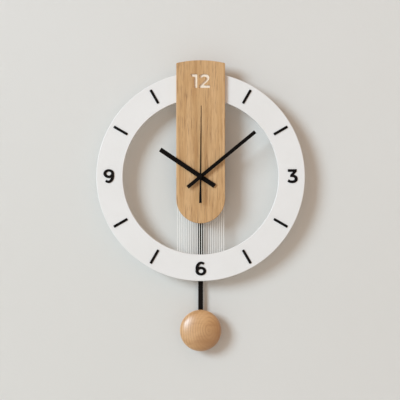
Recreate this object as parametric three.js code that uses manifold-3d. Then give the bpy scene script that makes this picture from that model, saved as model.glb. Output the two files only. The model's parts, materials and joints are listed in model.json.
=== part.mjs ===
// A quartz pendulum wall clock: a flat white dial ring hung on an oak board, a run of taut threads
// across the lower opening, and a pendulum with a turned wooden bob behind them.
//
// Millimetres. The pieces are laid out in the dial's own frame: x to the right and y up from the
// hands' axis, z forward from the wall. The last lines stand the dial up (+Z up, the front facing -Y)
// and put the origin where the wall hook carries the clock, on the wall plane.

import * as THREE from 'three';
import { mergeVertices } from 'three/addons/utils/BufferGeometryUtils.js';
import Module from 'manifold-3d';

// ---------------------------------------------------------------------------- driving dimensions

const RING = { outer: 150, inner: 112, back: 18.5, front: 27.5, sides: 96 };
const BOARD = { half: 35, top: 167, shoulder: 163.4, back: 21, front: 33, archCentre: -32 };
const NUMERAL = { radius: 132, thick: 0.8 };
const TWELVE = { one: -9.3, two: 5.5, centre: 137.3, pocket: 2.6 };
const HOUR_BAR = { from: 121.5, to: 144, width: 3.7 };
const HOUR_HAND = { tip: 69.7, tail: 24.2, width: 6.6, back: 35, thick: 1, angle: -56.2 };
const MINUTE_HAND = { tip: 101, tail: 24.2, width: 5.2, back: 38, thick: 0.9, angle: 50.6 };
const SECOND_HAND = { tip: 101.4, tail: 37.8, back: 40.6, thick: 0.6, angle: 0.5 };
const THREAD = { count: 22, pitch: 3.18, radius: 0.5, top: -35.3, bottom: -128, bottomDepth: 17.1 };
const LOWER_BAR = { half: 37, foot: 2, low: -126, high: -118, back: 13.2 };
const PENDULUM = { pivot: 52, eye: 26, width: 7, back: 6.2, front: 7.4, bob: -222, foot: -215 };
const BOB = { radius: 30, back: 5, equator: 17, front: 28 };
const CASE = { half: 32, low: -30, shoulder: 30, neck: 22, high: 64, wall: 1.5, front: 20.9 };
const COVER = { back: 9.2, front: 10.7, rail: 3 };
const HANGER = { back: 1.3, front: 2.8, low: 54, high: 85, half: 21.5 };
const BATTERY = { x: -22.7, z: 10.6, radius: 7.1, low: -24.9, high: 24.6 };
const BAY = { left: -30.2, right: -15.2, low: -28.3, high: 28.3 };
const ARM = { back: 7.7, front: 8.9 };
const STATOR = { back: 13.5, front: 14.3 };
const HOOK_HEIGHT = 78;

// Where screws and posts stand, each [x, y].
const RING_SCREWS = { left: [-24, 127], right: [24, 127] };
const CASE_SCREWS = { left: [-27, 33.6], right: [27, 33.6], low: [0, -31.9] };
const HANGER_SCREWS = { left: [-18.5, 59], right: [18.5, 59] };
const PLATE_POSTS = [[-11, 14], [-11.8, -16], [8, -9]];

const TOUCH = 0.1; // air between two pieces that lie against each other
const FIT = 0.3; // air round a pin, a stud or an inlaid piece

// The going train turns the second hand and, 60 to 1, the minute hand. The motion work turns the
// hour hand. Each tuple is teeth and module.
const ROTOR_PINION = [8, 0.31];
const INTERMEDIATE_WHEEL = [48, 0.31];
const INTERMEDIATE_PINION = [8, 0.375];
const SECOND_WHEEL = [40, 0.375];
const THIRD_MODULE = 25.2 / 68; // 8 and 60 teeth fill the same centre distance as 8 and 64
const SECOND_PINION = [8, THIRD_MODULE];
const THIRD_WHEEL = [60, THIRD_MODULE];
const THIRD_PINION = [8, 0.35];
const CENTRE_WHEEL = [64, 0.35];
const CANNON_PINION = [10, 0.6];
const MINUTE_WHEEL = [30, 0.6];
const MINUTE_PINION = [10, 0.48];
const HOUR_WHEEL = [40, 0.48];
const SETTING_PINION = [10, 0.6];

// Each toothed layer's [back, front] depth.
const LEVEL = {
  intermediatePinion: [11, 12.1],
  secondWheel: [11.1, 11.8],
  rotorPinion: [12.1, 13.1],
  intermediateWheel: [12.3, 12.9],
  secondPinion: [13.2, 14.3],
  thirdWheel: [13.4, 14.1],
  thirdPinion: [15.5, 16.5],
  centreWheel: [15.7, 16.3],
  cannonPinion: [16.5, 17.6],
  settingPinion: [16.7, 17.5],
  minuteWheel: [16.75, 17.45],
  minutePinion: [17.35, 19],
  hourWheel: [18.1, 18.8],
};

const degrees = (angle) => THREE.MathUtils.degToRad(angle);
const spread = ([teethA, moduleA], [teethB]) => ((teethA + teethB) * moduleA) / 2;
const step = (from, angle, distance) => new THREE.Vector2(
  from.x + distance * Math.cos(degrees(angle)),
  from.y + distance * Math.sin(degrees(angle)),
);

const MAIN = new THREE.Vector2(0, 0);
const THIRD = step(MAIN, 75, spread(SECOND_PINION, THIRD_WHEEL));
const INTERMEDIATE = step(MAIN, -100, spread(SECOND_WHEEL, INTERMEDIATE_PINION));
const ROTOR = step(INTERMEDIATE, -60, spread(INTERMEDIATE_WHEEL, ROTOR_PINION));
const MINUTE = step(MAIN, -20, spread(CANNON_PINION, MINUTE_WHEEL));
const SETTING = step(MINUTE, -20, spread(MINUTE_WHEEL, SETTING_PINION));
const COIL = new THREE.Vector2(0, 37);

// ---------------------------------------------------------------------------- materials

const finish = (color, roughness, metalness = 0) => (
  new THREE.MeshStandardMaterial({ color, roughness, metalness })
);
const OAK = finish(0xc29d72, 0.55);
const BEECH = finish(0xc49a70, 0.5);
const WHITE_LACQUER = finish(0xe8e7e3, 0.5);
const WHITE_PAINT = finish(0xf6ead8, 0.6);
const BLACK = finish(0x15110e, 0.45);
const THREAD_WHITE = finish(0xf2efe9, 0.9);
const CASE_PLASTIC = finish(0x232325, 0.5);
const WHEEL_PLASTIC = finish(0xe9e4d4, 0.4);
const RED_PLASTIC = finish(0xb8443a, 0.4);
const BRASS = finish(0xb99a4e, 0.3, 1);
const STEEL = finish(0xb4b6b9, 0.35, 1);
const ZINC = finish(0x9da1a6, 0.4, 1);
const COPPER = finish(0xb4623a, 0.35, 1);
const BOARD_GREEN = finish(0x2c5a3a, 0.5);
const FERRITE = finish(0x3a3a3e, 0.4, 0.5);
const LABEL = finish(0x3d6a8c, 0.4);

// ---------------------------------------------------------------------------- solids

const wasm = await Module();
wasm.setup();

function solid(geometry) {
  geometry.deleteAttribute('normal');
  geometry.deleteAttribute('uv');
  const merged = mergeVertices(geometry);
  return new wasm.Manifold(new wasm.Mesh({
    numProp: 3,
    vertProperties: new Float32Array(merged.attributes.position.array),
    triVerts: new Uint32Array(merged.index.array),
  }));
}

function geometryOf(body) {
  const { vertProperties, triVerts } = body.getMesh();
  const geometry = new THREE.BufferGeometry();
  geometry.setAttribute('position', new THREE.BufferAttribute(vertProperties, 3));
  geometry.setIndex(new THREE.BufferAttribute(triVerts, 1));
  geometry.computeVertexNormals();
  return geometry;
}

const joined = (...bodies) => bodies.reduce((whole, body) => whole.add(body));
const cut = (body, ...tools) => tools.reduce((rest, tool) => rest.subtract(tool), body);

/** A flat outline raised from depth `back` to depth `front`. */
function slab(shape, back, front, curveSegments = 12) {
  const settings = { depth: front - back, bevelEnabled: false, curveSegments };
  return solid(new THREE.ExtrudeGeometry(shape, settings).translate(0, 0, back));
}

function polygon(points) {
  return new THREE.Shape(points.map(([x, y]) => new THREE.Vector2(x, y)));
}

/** A round bar along z about the point `at`. */
function bar(at, radius, back, front, sides = 12) {
  const geometry = new THREE.CylinderGeometry(radius, radius, front - back, sides);
  return solid(geometry.rotateX(Math.PI / 2).translate(at.x, at.y, (back + front) / 2));
}

function block([x0, x1], [y0, y1], [z0, z1]) {
  const geometry = new THREE.BoxGeometry(x1 - x0, y1 - y0, z1 - z0);
  return solid(geometry.translate((x0 + x1) / 2, (y0 + y1) / 2, (z0 + z1) / 2));
}

/** A turned solid about z: the profile is a list of [radius, depth] from axis to axis. */
function turned(profile, at, sides) {
  const points = profile.map(([radius, depth]) => new THREE.Vector2(radius, depth));
  return solid(new THREE.LatheGeometry(points, sides).rotateX(Math.PI / 2).translate(at.x, at.y, 0));
}

/** A pan-headed screw driven forward from the back. */
function screw(at, headRadius, shankRadius, headBack, headFront, tip) {
  const shank = bar(at, shankRadius, headFront - TOUCH, tip, 8);
  return joined(bar(at, headRadius, headBack, headFront, 12), shank);
}

// ---------------------------------------------------------------------------- gears

const TOOTH = { addendum: 0.85, dedendum: 1.15, root: 0.58, tip: 0.22 };

/** A toothed wheel about `at`; one tooth's middle stands at `phase` (radians from +x). */
function gear([teeth, module], at, phase, back, front) {
  const pitch = (2 * Math.PI) / teeth;
  const radius = (teeth * module) / 2;
  const root = radius - TOOTH.dedendum * module;
  const tip = radius + TOOTH.addendum * module;
  const crest = teeth > 20 ? [[tip, 0]] : [[tip, -TOOTH.tip], [tip, TOOTH.tip]];
  const corners = [[root, -TOOTH.root], ...crest, [root, TOOTH.root]];
  const outline = [];
  for (let tooth = 0; tooth < teeth; tooth += 1) {
    for (const [reach, share] of corners) {
      const angle = phase + pitch * (tooth + share / 2);
      outline.push([at.x + reach * Math.cos(angle), at.y + reach * Math.sin(angle)]);
    }
  }
  return slab(polygon(outline), back, front);
}

/** The phase that sets a wheel's gap opposite a tooth of the wheel that drives it. */
function meshed([driverTeeth], driverAt, driverPhase, [teeth], at) {
  const towards = Math.atan2(at.y - driverAt.y, at.x - driverAt.x);
  const along = ((towards - driverPhase) * driverTeeth) / (2 * Math.PI);
  return towards + Math.PI + ((2 * Math.PI) / teeth) * (along - 0.5);
}

// ---------------------------------------------------------------------------- numerals

/** An arc stroke between an outer and an inner ellipse, each [x, y, rx, ry]. */
function arcStroke(outer, inner, from, to, steps = 14) {
  const rim = ([x, y, rx, ry], angle) => [
    x + rx * Math.cos(degrees(angle)), y + ry * Math.sin(degrees(angle)),
  ];
  const points = [];
  for (let i = 0; i <= steps; i += 1) points.push(rim(outer, from + ((to - from) * i) / steps));
  for (let i = steps; i >= 0; i -= 1) points.push(rim(inner, from + ((to - from) * i) / steps));
  return polygon(points);
}

function numeralOne(back, front) {
  return slab(polygon([[4.6, 10], [4.6, -10], [0.2, -10], [0.2, 6], [-4.6, 6], [-4.6, 10]].reverse()),
    back, front);
}

function numeralTwo(back, front) {
  const shape = new THREE.Shape();
  shape.moveTo(-7.7, -10);
  shape.lineTo(7.9, -10);
  shape.lineTo(7.9, -6);
  shape.lineTo(-1.2, -6);
  shape.lineTo(3.6, -1.6);
  shape.bezierCurveTo(6.2, 0.8, 7, 2.4, 7, 4.5);
  shape.bezierCurveTo(7, 7.9, 4.3, 10, -0.1, 10);
  shape.bezierCurveTo(-3.5, 10, -6.1, 8.8, -7.7, 6.5);
  shape.lineTo(-4.5, 4.1);
  shape.bezierCurveTo(-3.4, 5.5, -2.1, 6.1, -0.4, 6.1);
  shape.bezierCurveTo(1.5, 6.1, 2.5, 5.4, 2.5, 4.1);
  shape.bezierCurveTo(2.5, 3, 2, 2, 0.4, 0.5);
  shape.lineTo(-7.7, -7);
  shape.closePath();
  return slab(shape, back, front, 6);
}

function numeralThree(back, front) {
  const shape = new THREE.Shape();
  shape.moveTo(-6.7, 10);
  shape.lineTo(-6.7, 6.1);
  shape.lineTo(0.6, 6.1);
  shape.lineTo(-3.3, 1.7);
  shape.lineTo(-3.3, -1.3);
  shape.lineTo(-1, -1.3);
  shape.bezierCurveTo(1.7, -1.3, 3, -2.2, 3, -3.8);
  shape.bezierCurveTo(3, -5.4, 1.6, -6.2, -0.7, -6.2);
  shape.bezierCurveTo(-2.5, -6.2, -4.1, -5.6, -5.5, -4.5);
  shape.lineTo(-7.2, -7.9);
  shape.bezierCurveTo(-5.5, -9.3, -3.2, -10, -0.6, -10);
  shape.bezierCurveTo(4.4, -10, 7.5, -7.6, 7.5, -3.9);
  shape.bezierCurveTo(7.5, -0.7, 5.3, 1.4, 1.9, 2);
  shape.lineTo(6, 6.9);
  shape.lineTo(6, 10);
  shape.closePath();
  return slab(shape, back, front, 6);
}

function oval(x, y, rx, ry, steps = 20) {
  const points = [];
  for (let i = 0; i < steps; i += 1) {
    const angle = (2 * Math.PI * i) / steps;
    points.push([x + rx * Math.cos(angle), y + ry * Math.sin(angle)]);
  }
  return polygon(points);
}

function numeralSix(back, front) {
  const bowl = slab(oval(0, -3.6, 7.75, 6.4), back, front);
  const stem = slab(arcStroke([0.4, 0, 8.15, 10], [0.9, 0.2, 4.1, 6.2], 53, 205), back, front);
  return cut(joined(bowl, stem), slab(oval(0, -3.7, 3.4, 2.8), back - 1, front + 1));
}

// ---------------------------------------------------------------------------- scene graph

const clock = new THREE.Group();

function piece(name, material, body) {
  const mesh = new THREE.Mesh(geometryOf(body), material);
  mesh.name = name;
  clock.add(mesh);
}

// ---------------------------------------------------------------------------- board, ring and dial

const point = ([x, y]) => new THREE.Vector2(x, y);

function boardOutline() {
  const { half, top, shoulder, archCentre } = BOARD;
  const crown = 2 * top - shoulder;
  const shape = new THREE.Shape();
  shape.moveTo(-half, archCentre);
  shape.absarc(0, archCentre, half, Math.PI, 2 * Math.PI, false);
  shape.lineTo(half, shoulder - 2.2);
  shape.quadraticCurveTo(half, shoulder - 0.4, half - 1.8, shoulder);
  shape.quadraticCurveTo(0, crown, -half + 1.8, shoulder);
  shape.quadraticCurveTo(-half, shoulder - 0.4, -half, shoulder - 2.2);
  shape.closePath();
  return shape;
}

function annulus(outer, inner, back, front, sides) {
  return cut(bar(MAIN, outer, back, front, sides), bar(MAIN, inner, back - 1, front + 1, sides));
}

function makeBoard() {
  const ringSeat = cut(
    annulus(RING.outer + FIT, RING.inner - FIT, BOARD.back - 1, RING.front + TOUCH, RING.sides),
    block([-200, 200], [-200, 60], [0, 40]),
  );
  const floor = BOARD.front - TWELVE.pocket;
  const pockets = joined(
    numeralOne(floor, BOARD.front + 1).translate([TWELVE.one, TWELVE.centre, 0]),
    numeralTwo(floor, BOARD.front + 1).translate([TWELVE.two, TWELVE.centre, 0]),
  );
  const caseHoles = [
    bar(point(CASE_SCREWS.left), 1.3, BOARD.back - 1, 28.3),
    bar(point(CASE_SCREWS.right), 1.3, BOARD.back - 1, 28.3),
    bar(point(CASE_SCREWS.low), 1, BOARD.back - 1, 28.3),
  ];
  const ringHoles = Object.values(RING_SCREWS).map((at) => bar(point(at), 1.4, BOARD.back - 1, 31));
  return cut(
    slab(boardOutline(), BOARD.back, BOARD.front, 20),
    ringSeat, pockets, bar(MAIN, 4.2, BOARD.back - 1, BOARD.front + 1, 20), ...caseHoles, ...ringHoles,
  );
}

function makeRing() {
  const holes = Object.values(RING_SCREWS).map((at) => bar(point(at), 1.7, RING.back - 1, RING.front + 1));
  return cut(annulus(RING.outer, RING.inner, RING.back, RING.front, RING.sides), ...holes);
}

piece('oak_board', OAK, makeBoard());
piece('dial_ring', WHITE_LACQUER, makeRing());

/** A numeral narrowed all round, so that it drops into its pocket. */
function eased(body, air) {
  const shifts = [[air, 0, 0], [-air, 0, 0], [0, air, 0], [0, -air, 0]];
  return shifts.map((shift) => body.translate(shift)).reduce((rest, copy) => rest.intersect(copy));
}

const inlay = BOARD.front - TWELVE.pocket + TOUCH;
piece('inlay_one', WHITE_PAINT,
  eased(numeralOne(inlay, inlay + 0.4), 0.12).translate([TWELVE.one, TWELVE.centre, 0]));
piece('inlay_two', WHITE_PAINT,
  eased(numeralTwo(inlay, inlay + 0.4), 0.12).translate([TWELVE.two, TWELVE.centre, 0]));

const dialFace = { back: RING.front + TOUCH, front: RING.front + TOUCH + NUMERAL.thick };
piece('numeral_three', BLACK,
  numeralThree(dialFace.back, dialFace.front).translate([NUMERAL.radius, 0.8, 0]));
piece('numeral_six', BLACK,
  numeralSix(dialFace.back, dialFace.front).translate([0.3, -NUMERAL.radius, 0]));
piece('numeral_nine', BLACK,
  numeralSix(dialFace.back, dialFace.front).rotate([0, 0, 180]).translate([-NUMERAL.radius, 0.8, 0]));

for (const hour of [1, 2, 4, 5, 7, 8, 10, 11]) {
  const half = HOUR_BAR.width / 2;
  const corner = 0.6;
  const { from, to } = HOUR_BAR;
  const outline = polygon([
    [-half + corner, from], [half - corner, from], [half, from + corner], [half, to - corner],
    [half - corner, to], [-half + corner, to], [-half, to - corner], [-half, from + corner],
  ]);
  piece(`hour_bar_${hour}`, BLACK,
    slab(outline, dialFace.back, dialFace.front).rotate([0, 0, -30 * hour]));
}

for (const [side, at] of Object.entries(RING_SCREWS)) {
  piece(`ring_screw_${side}`, ZINC, screw(point(at), 3, 1.3, 17.2, RING.back - TOUCH, 30.6));
}

// ---------------------------------------------------------------------------- hands

function barHand({ tip, tail, width, back, thick, angle }, bossRadius, holeRadius) {
  const half = width / 2;
  const blade = slab(polygon([[-half, -tail], [half, -tail], [half, tip], [-half, tip]]), back, back + thick);
  const boss = bar(MAIN, bossRadius, back - 0.5, back + thick + 0.5, 24);
  return cut(joined(blade, boss), bar(MAIN, holeRadius, back - 2, back + thick + 2, 20))
    .rotate([0, 0, -angle]);
}

function needleHand({ tip, tail, back, thick, angle }) {
  const blade = slab(polygon([
    [-1.9, -tail], [1.9, -tail], [1, -2], [1.1, 12], [0.45, tip], [-0.45, tip], [-1.1, 12], [-1, -2],
  ]), back, back + thick);
  const cap = turned([
    [0, back - 0.4], [2.6, back - 0.4], [2.6, back + 0.9], [1.9, back + 1.4], [0, back + 1.6],
  ], MAIN, 24);
  return cut(joined(blade, cap), bar(MAIN, 0.7, back - 2, back + 0.75)).rotate([0, 0, -angle]);
}

piece('hour_hand', BLACK, barHand(HOUR_HAND, 3.5, 2.7));
piece('minute_hand', BLACK, barHand(MINUTE_HAND, 2.8, 1.7));
piece('second_hand', BLACK, needleHand(SECOND_HAND));

// ---------------------------------------------------------------------------- gear train

const secondPhase = 0;
const intermediatePinionPhase = meshed(
  SECOND_WHEEL, MAIN, secondPhase, INTERMEDIATE_PINION, INTERMEDIATE);
const rotorPhase = meshed(INTERMEDIATE_WHEEL, INTERMEDIATE, 0, ROTOR_PINION, ROTOR);
const thirdPhase = meshed(SECOND_PINION, MAIN, secondPhase, THIRD_WHEEL, THIRD);
const centrePhase = meshed(THIRD_PINION, THIRD, 0, CENTRE_WHEEL, MAIN);
const minuteWheelPhase = meshed(CANNON_PINION, MAIN, 0, MINUTE_WHEEL, MINUTE);
const hourPhase = meshed(MINUTE_PINION, MINUTE, 0, HOUR_WHEEL, MAIN);
const settingPhase = meshed(MINUTE_WHEEL, MINUTE, minuteWheelPhase, SETTING_PINION, SETTING);

piece('second_wheel', WHEEL_PLASTIC, joined(
  gear(SECOND_WHEEL, MAIN, secondPhase, ...LEVEL.secondWheel),
  gear(SECOND_PINION, MAIN, secondPhase, ...LEVEL.secondPinion),
  bar(MAIN, 1, LEVEL.secondWheel[1] - TOUCH, LEVEL.secondPinion[0] + TOUCH),
  bar(MAIN, 0.6, 10, SECOND_HAND.back + 0.6, 10),
));
piece('intermediate_wheel', RED_PLASTIC, joined(
  gear(INTERMEDIATE_PINION, INTERMEDIATE, intermediatePinionPhase, ...LEVEL.intermediatePinion),
  gear(INTERMEDIATE_WHEEL, INTERMEDIATE, 0, ...LEVEL.intermediateWheel),
  bar(INTERMEDIATE, 0.5, 10, 15.1, 10),
));
piece('rotor_pinion', WHEEL_PLASTIC, joined(
  gear(ROTOR_PINION, ROTOR, rotorPhase, ...LEVEL.rotorPinion),
  bar(ROTOR, 0.5, 10, 15.1, 10),
));
piece('rotor_magnet', FERRITE, cut(bar(ROTOR, 2.5, 13.3, 14.4, 20), bar(ROTOR, 0.6, 13, 15, 10)));
piece('third_wheel', WHEEL_PLASTIC, joined(
  gear(THIRD_WHEEL, THIRD, thirdPhase, ...LEVEL.thirdWheel),
  gear(THIRD_PINION, THIRD, 0, ...LEVEL.thirdPinion),
  bar(THIRD, 0.5, 10, 20.1, 10),
));
piece('centre_wheel', BRASS, cut(
  gear(CENTRE_WHEEL, MAIN, centrePhase, ...LEVEL.centreWheel),
  bar(MAIN, 1.7, 15, 17, 16),
));
piece('cannon_pinion', BRASS, cut(
  joined(
    gear(CANNON_PINION, MAIN, 0, ...LEVEL.cannonPinion),
    bar(MAIN, 1.6, 15.5, MINUTE_HAND.back + MINUTE_HAND.thick + 0.8, 16),
  ),
  bar(MAIN, 0.95, 15, 45, 16),
));
piece('minute_wheel', WHEEL_PLASTIC, cut(
  joined(
    gear(MINUTE_WHEEL, MINUTE, minuteWheelPhase, ...LEVEL.minuteWheel),
    gear(MINUTE_PINION, MINUTE, 0, ...LEVEL.minutePinion),
  ),
  bar(MINUTE, 1, 16, 20),
));
piece('hour_wheel', WHEEL_PLASTIC, cut(
  joined(
    gear(HOUR_WHEEL, MAIN, hourPhase, ...LEVEL.hourWheel),
    bar(MAIN, 2.6, LEVEL.hourWheel[0], HOUR_HAND.back + HOUR_HAND.thick + 0.8, 20),
  ),
  bar(MAIN, 1.95, 18, 45, 20),
));

function knobOutline(at, ridges, radius, depth) {
  const points = [];
  for (let i = 0; i < 2 * ridges; i += 1) {
    const angle = (Math.PI * i) / ridges;
    const reach = i % 2 ? radius - depth : radius;
    points.push([at.x + reach * Math.cos(angle), at.y + reach * Math.sin(angle)]);
  }
  return polygon(points);
}

piece('setting_knob', RED_PLASTIC, joined(
  slab(knobOutline(SETTING, 20, 4.6, 0.5), 5, 8.9),
  bar(SETTING, 1.5, 8.9 - TOUCH, 17, 14),
  gear(SETTING_PINION, SETTING, settingPhase, ...LEVEL.settingPinion),
  bar(SETTING, 0.7, LEVEL.settingPinion[1] - TOUCH, 20.1, 10),
));

// ---------------------------------------------------------------------------- motor

piece('stator', STEEL, cut(
  block([-10, 16], [-26.4, -12], [STATOR.back, STATOR.front]),
  block([-6.5, 12.5], [-24, -21], [13, 15]),
  bar(ROTOR, 3.1, 13, 15, 20),
));
piece('motor_coil', COPPER, cut(
  block([-5, 11], [-27.9, -22.5], [12, 15.8]),
  block([-6, 12], [-26.7, -23.7], [STATOR.back - FIT, STATOR.front + FIT]),
));

piece('middle_plate', CASE_PLASTIC, cut(
  block([-13.4, 10], [-20, 16], [14.6, 15.2]),
  bar(MAIN, 1.2, 14, 16, 16),
  bar(THIRD, 0.8, 14, 16),
  bar(INTERMEDIATE, 0.7, 14, 16),
  bar(ROTOR, 0.7, 14, 16),
  ...PLATE_POSTS.map((at) => bar(point(at), 0.8, 14, 16)),
));

piece('circuit_board', BOARD_GREEN, block([17, 29.5], [-27.5, -15], [15, 16]));
piece('control_chip', BLACK, block([19, 24], [-26, -21], [13.9, 15 - TOUCH]));
piece('quartz_crystal', ZINC, solid(
  new THREE.CylinderGeometry(1, 1, 6, 12).rotateZ(Math.PI / 2).translate(24.5, -17.6, 13.8)));

// ---------------------------------------------------------------------------- movement case

function caseOutline(inset) {
  const side = CASE.half - inset;
  const neck = CASE.neck - inset;
  const [low, shoulder, high] = [CASE.low + inset, CASE.shoulder - inset, CASE.high - inset];
  const corner = 3 - inset;
  return polygon([
    [-side + corner, low], [side - corner, low], [side, low + corner], [side, shoulder - corner],
    [side - corner, shoulder], [neck, shoulder], [neck, high - corner], [neck - corner, high],
    [-neck + corner, high], [-neck, high - corner], [-neck, shoulder], [-side + corner, shoulder],
    [-side, shoulder - corner], [-side, low + corner],
  ]);
}

const FRONT_WALL = CASE.front - CASE.wall;

function makeCaseFront() {
  const shell = cut(
    slab(caseOutline(0), COVER.front + 0.2, CASE.front),
    slab(caseOutline(CASE.wall), COVER.front, FRONT_WALL),
  );
  const ears = [
    bar(point(CASE_SCREWS.left), 4.2, FRONT_WALL, CASE.front, 20),
    bar(point(CASE_SCREWS.right), 4.2, FRONT_WALL, CASE.front, 20),
    bar(point(CASE_SCREWS.low), 2.7, FRONT_WALL, CASE.front, 20),
  ];
  return cut(
    joined(
      shell, ...ears,
      bar(MAIN, 3.9, FRONT_WALL, BOARD.front - 0.8, 20),
      bar(MINUTE, 0.7, 16.5, FRONT_WALL + TOUCH, 10),
      bar(new THREE.Vector2(23, -20), 1.5, 16 + TOUCH, FRONT_WALL + TOUCH),
    ),
    bar(MAIN, 2.95, FRONT_WALL - 1, BOARD.front, 20),
    bar(THIRD, 0.7, FRONT_WALL - 1, FRONT_WALL + 0.9),
    bar(SETTING, 1, FRONT_WALL - 1, FRONT_WALL + 0.9),
    bar(point(CASE_SCREWS.left), 1.4, FRONT_WALL - 1, CASE.front + 1),
    bar(point(CASE_SCREWS.right), 1.4, FRONT_WALL - 1, CASE.front + 1),
    bar(point(CASE_SCREWS.low), 1.1, FRONT_WALL - 1, CASE.front + 1),
  );
}

function makeCaseBack() {
  const { back, front, rail } = COVER;
  const neck = CASE.neck;
  const divider = block([BAY.right, BAY.right + 1], [BAY.low, BAY.high], [back, FRONT_WALL - TOUCH]);
  const rims = [
    block([-CASE.half, BAY.right + 1], [CASE.low, CASE.shoulder], [0, back + TOUCH]),
    block([CASE.half - rail, CASE.half], [CASE.low + 3, CASE.shoulder - 3], [0, back + TOUCH]),
    block([-neck, -neck + rail], [CASE.shoulder, CASE.high - 3], [0, back + TOUCH]),
    block([neck - rail, neck], [CASE.shoulder, CASE.high - 3], [0, back + TOUCH]),
    block([-neck, -neck + 7], [HANGER.low, CASE.high - 3], [0, back + TOUCH]),
    block([neck - 7, neck], [HANGER.low, CASE.high - 3], [0, back + TOUCH]),
  ];
  const posts = PLATE_POSTS.map(point).flatMap((at) => [
    bar(at, 1.2, front - TOUCH, 14.5), bar(at, 0.6, 14.4, 15.2, 10),
  ]);
  const pivots = [
    [MAIN, 0.8], [THIRD, 0.7], [INTERMEDIATE, 0.7], [ROTOR, 0.7],
  ].map(([at, radius]) => bar(at, radius, front - 0.8, front + 0.5));
  return cut(
    joined(slab(caseOutline(0), back, front), divider, ...rims, ...posts),
    block([BAY.left, BAY.right], [BAY.low, BAY.high], [-1, front + 0.5]),
    block([-30, 30], [HANGER.low - 0.2, 90], [-1, HANGER.front + TOUCH]),
    bar(SETTING, 1.9, back - 1, front + 1, 14),
    bar(point([0, PENDULUM.pivot]), 1.1, back - 1, front + 1),
    ...Object.values(HANGER_SCREWS).map((at) => bar(point(at), 1.1, 0, 8.2)),
    ...pivots,
  );
}

piece('case_front', CASE_PLASTIC, makeCaseFront());
piece('case_back', CASE_PLASTIC, makeCaseBack());

for (const [side, at] of Object.entries(CASE_SCREWS)) {
  const [head, shank] = side === 'low' ? [1.6, 0.9] : [2.5, 1.2];
  piece(`case_screw_${side}`, ZINC,
    screw(point(at), head, shank, FRONT_WALL - 1.3, FRONT_WALL - TOUCH, 28));
}

/** A round bar along y, for the battery and its contact spring. */
function upright(radius, low, high, sides) {
  return solid(new THREE.CylinderGeometry(radius, radius, high - low, sides)
    .translate(BATTERY.x, (low + high) / 2, BATTERY.z));
}

piece('aa_battery', LABEL, joined(
  upright(BATTERY.radius, BATTERY.low, BATTERY.high, 32),
  upright(2.7, BATTERY.high - TOUCH, BATTERY.high + 1.3, 16),
));
const contactSpan = [[BATTERY.x - 5, BATTERY.x + 5], [BATTERY.z - 5, BATTERY.z + 5]];
piece('contact_plus', STEEL, block(contactSpan[0], [26.3, 26.8], contactSpan[1]));
piece('contact_minus', STEEL, joined(
  block(contactSpan[0], [-27.2, -26.7], contactSpan[1]),
  upright(3.2, -26.8, BATTERY.low - 0.2, 16),
));

// ---------------------------------------------------------------------------- pendulum drive

piece('coil_bobbin', WHEEL_PLASTIC, joined(
  bar(COIL, 8.5, 10.8, 11.2, 24), bar(COIL, 3, 11.1, 17, 16), bar(COIL, 8.5, 16.9, 17.4, 24),
));
piece('pendulum_coil', COPPER, cut(
  bar(COIL, 8, 11.3, 16.8, 24), bar(COIL, 3.2, 11, 17, 16),
));

const PIVOT = point([0, PENDULUM.pivot]);
const EYE = point([0, PENDULUM.eye]);

function makeSwingArm() {
  const link = slab(polygon([[-4.5, 52], [-3.6, 26], [3.6, 26], [4.5, 52]]), ARM.back, ARM.front);
  return cut(
    joined(
      link, bar(PIVOT, 4.5, ARM.back, ARM.front, 20), bar(EYE, 3.6, ARM.back, ARM.front, 20),
      bar(COIL, 5.5, ARM.back, ARM.front, 20),
    ),
    bar(PIVOT, 1.3, 7, 10), bar(EYE, 1.3, 7, 10),
  );
}

piece('pivot_pin', STEEL, joined(bar(PIVOT, 2.3, 5.8, 7, 16), bar(PIVOT, 1, 6.9, COVER.front)));
piece('swing_arm', WHEEL_PLASTIC, makeSwingArm());
piece('swing_magnet', FERRITE, bar(COIL, 4, 5.2, ARM.back - TOUCH, 20));
piece('pendulum_hook', STEEL, joined(bar(EYE, 2.5, 4.6, 5.7, 16), bar(EYE, 1.2, 5.6, ARM.front)));

function makeRod() {
  const { width, back, front, eye, foot } = PENDULUM;
  const half = width / 2;
  const strip = slab(polygon([[-half, foot], [half, foot], [half, eye], [-half, eye]]), back, front);
  return cut(
    joined(strip, bar(EYE, half, back, front, 20)),
    bar(EYE, 1.6, back - 1, front + 1), bar(point([0, foot + 5]), 1.5, back - 1, front + 1),
  );
}

function makeBob() {
  const { radius, back, equator, front } = BOB;
  const profile = [[0, back]];
  const rearDepth = 14; // the rear half is an ellipse this deep, cut off flat at `back`
  const flat = Math.asin((equator - back) / rearDepth);
  for (let i = 0; i <= 5; i += 1) {
    const angle = flat * (1 - i / 5);
    profile.push([radius * Math.cos(angle), equator - rearDepth * Math.sin(angle)]);
  }
  for (let i = 1; i <= 7; i += 1) {
    const angle = (Math.PI / 2) * (i / 7);
    profile.push([i === 7 ? 0 : radius * Math.cos(angle), equator + (front - equator) * Math.sin(angle)]);
  }
  const centre = point([0, PENDULUM.bob]);
  const half = PENDULUM.width / 2 + 0.3;
  return cut(
    turned(profile, centre, 36),
    block([-half, half], [PENDULUM.foot - 0.4, -180], [0, PENDULUM.front + 0.3]),
    bar(point([0, PENDULUM.foot + 5]), 1.3, 7, 14.3),
  );
}

piece('pendulum_rod', BLACK, makeRod());
piece('pendulum_bob', BEECH, makeBob());
piece('bob_screw', ZINC, screw(point([0, PENDULUM.foot + 5]), 2.6, 1.15, 5.1, 6.1, 14));

// ---------------------------------------------------------------------------- hanger

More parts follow.
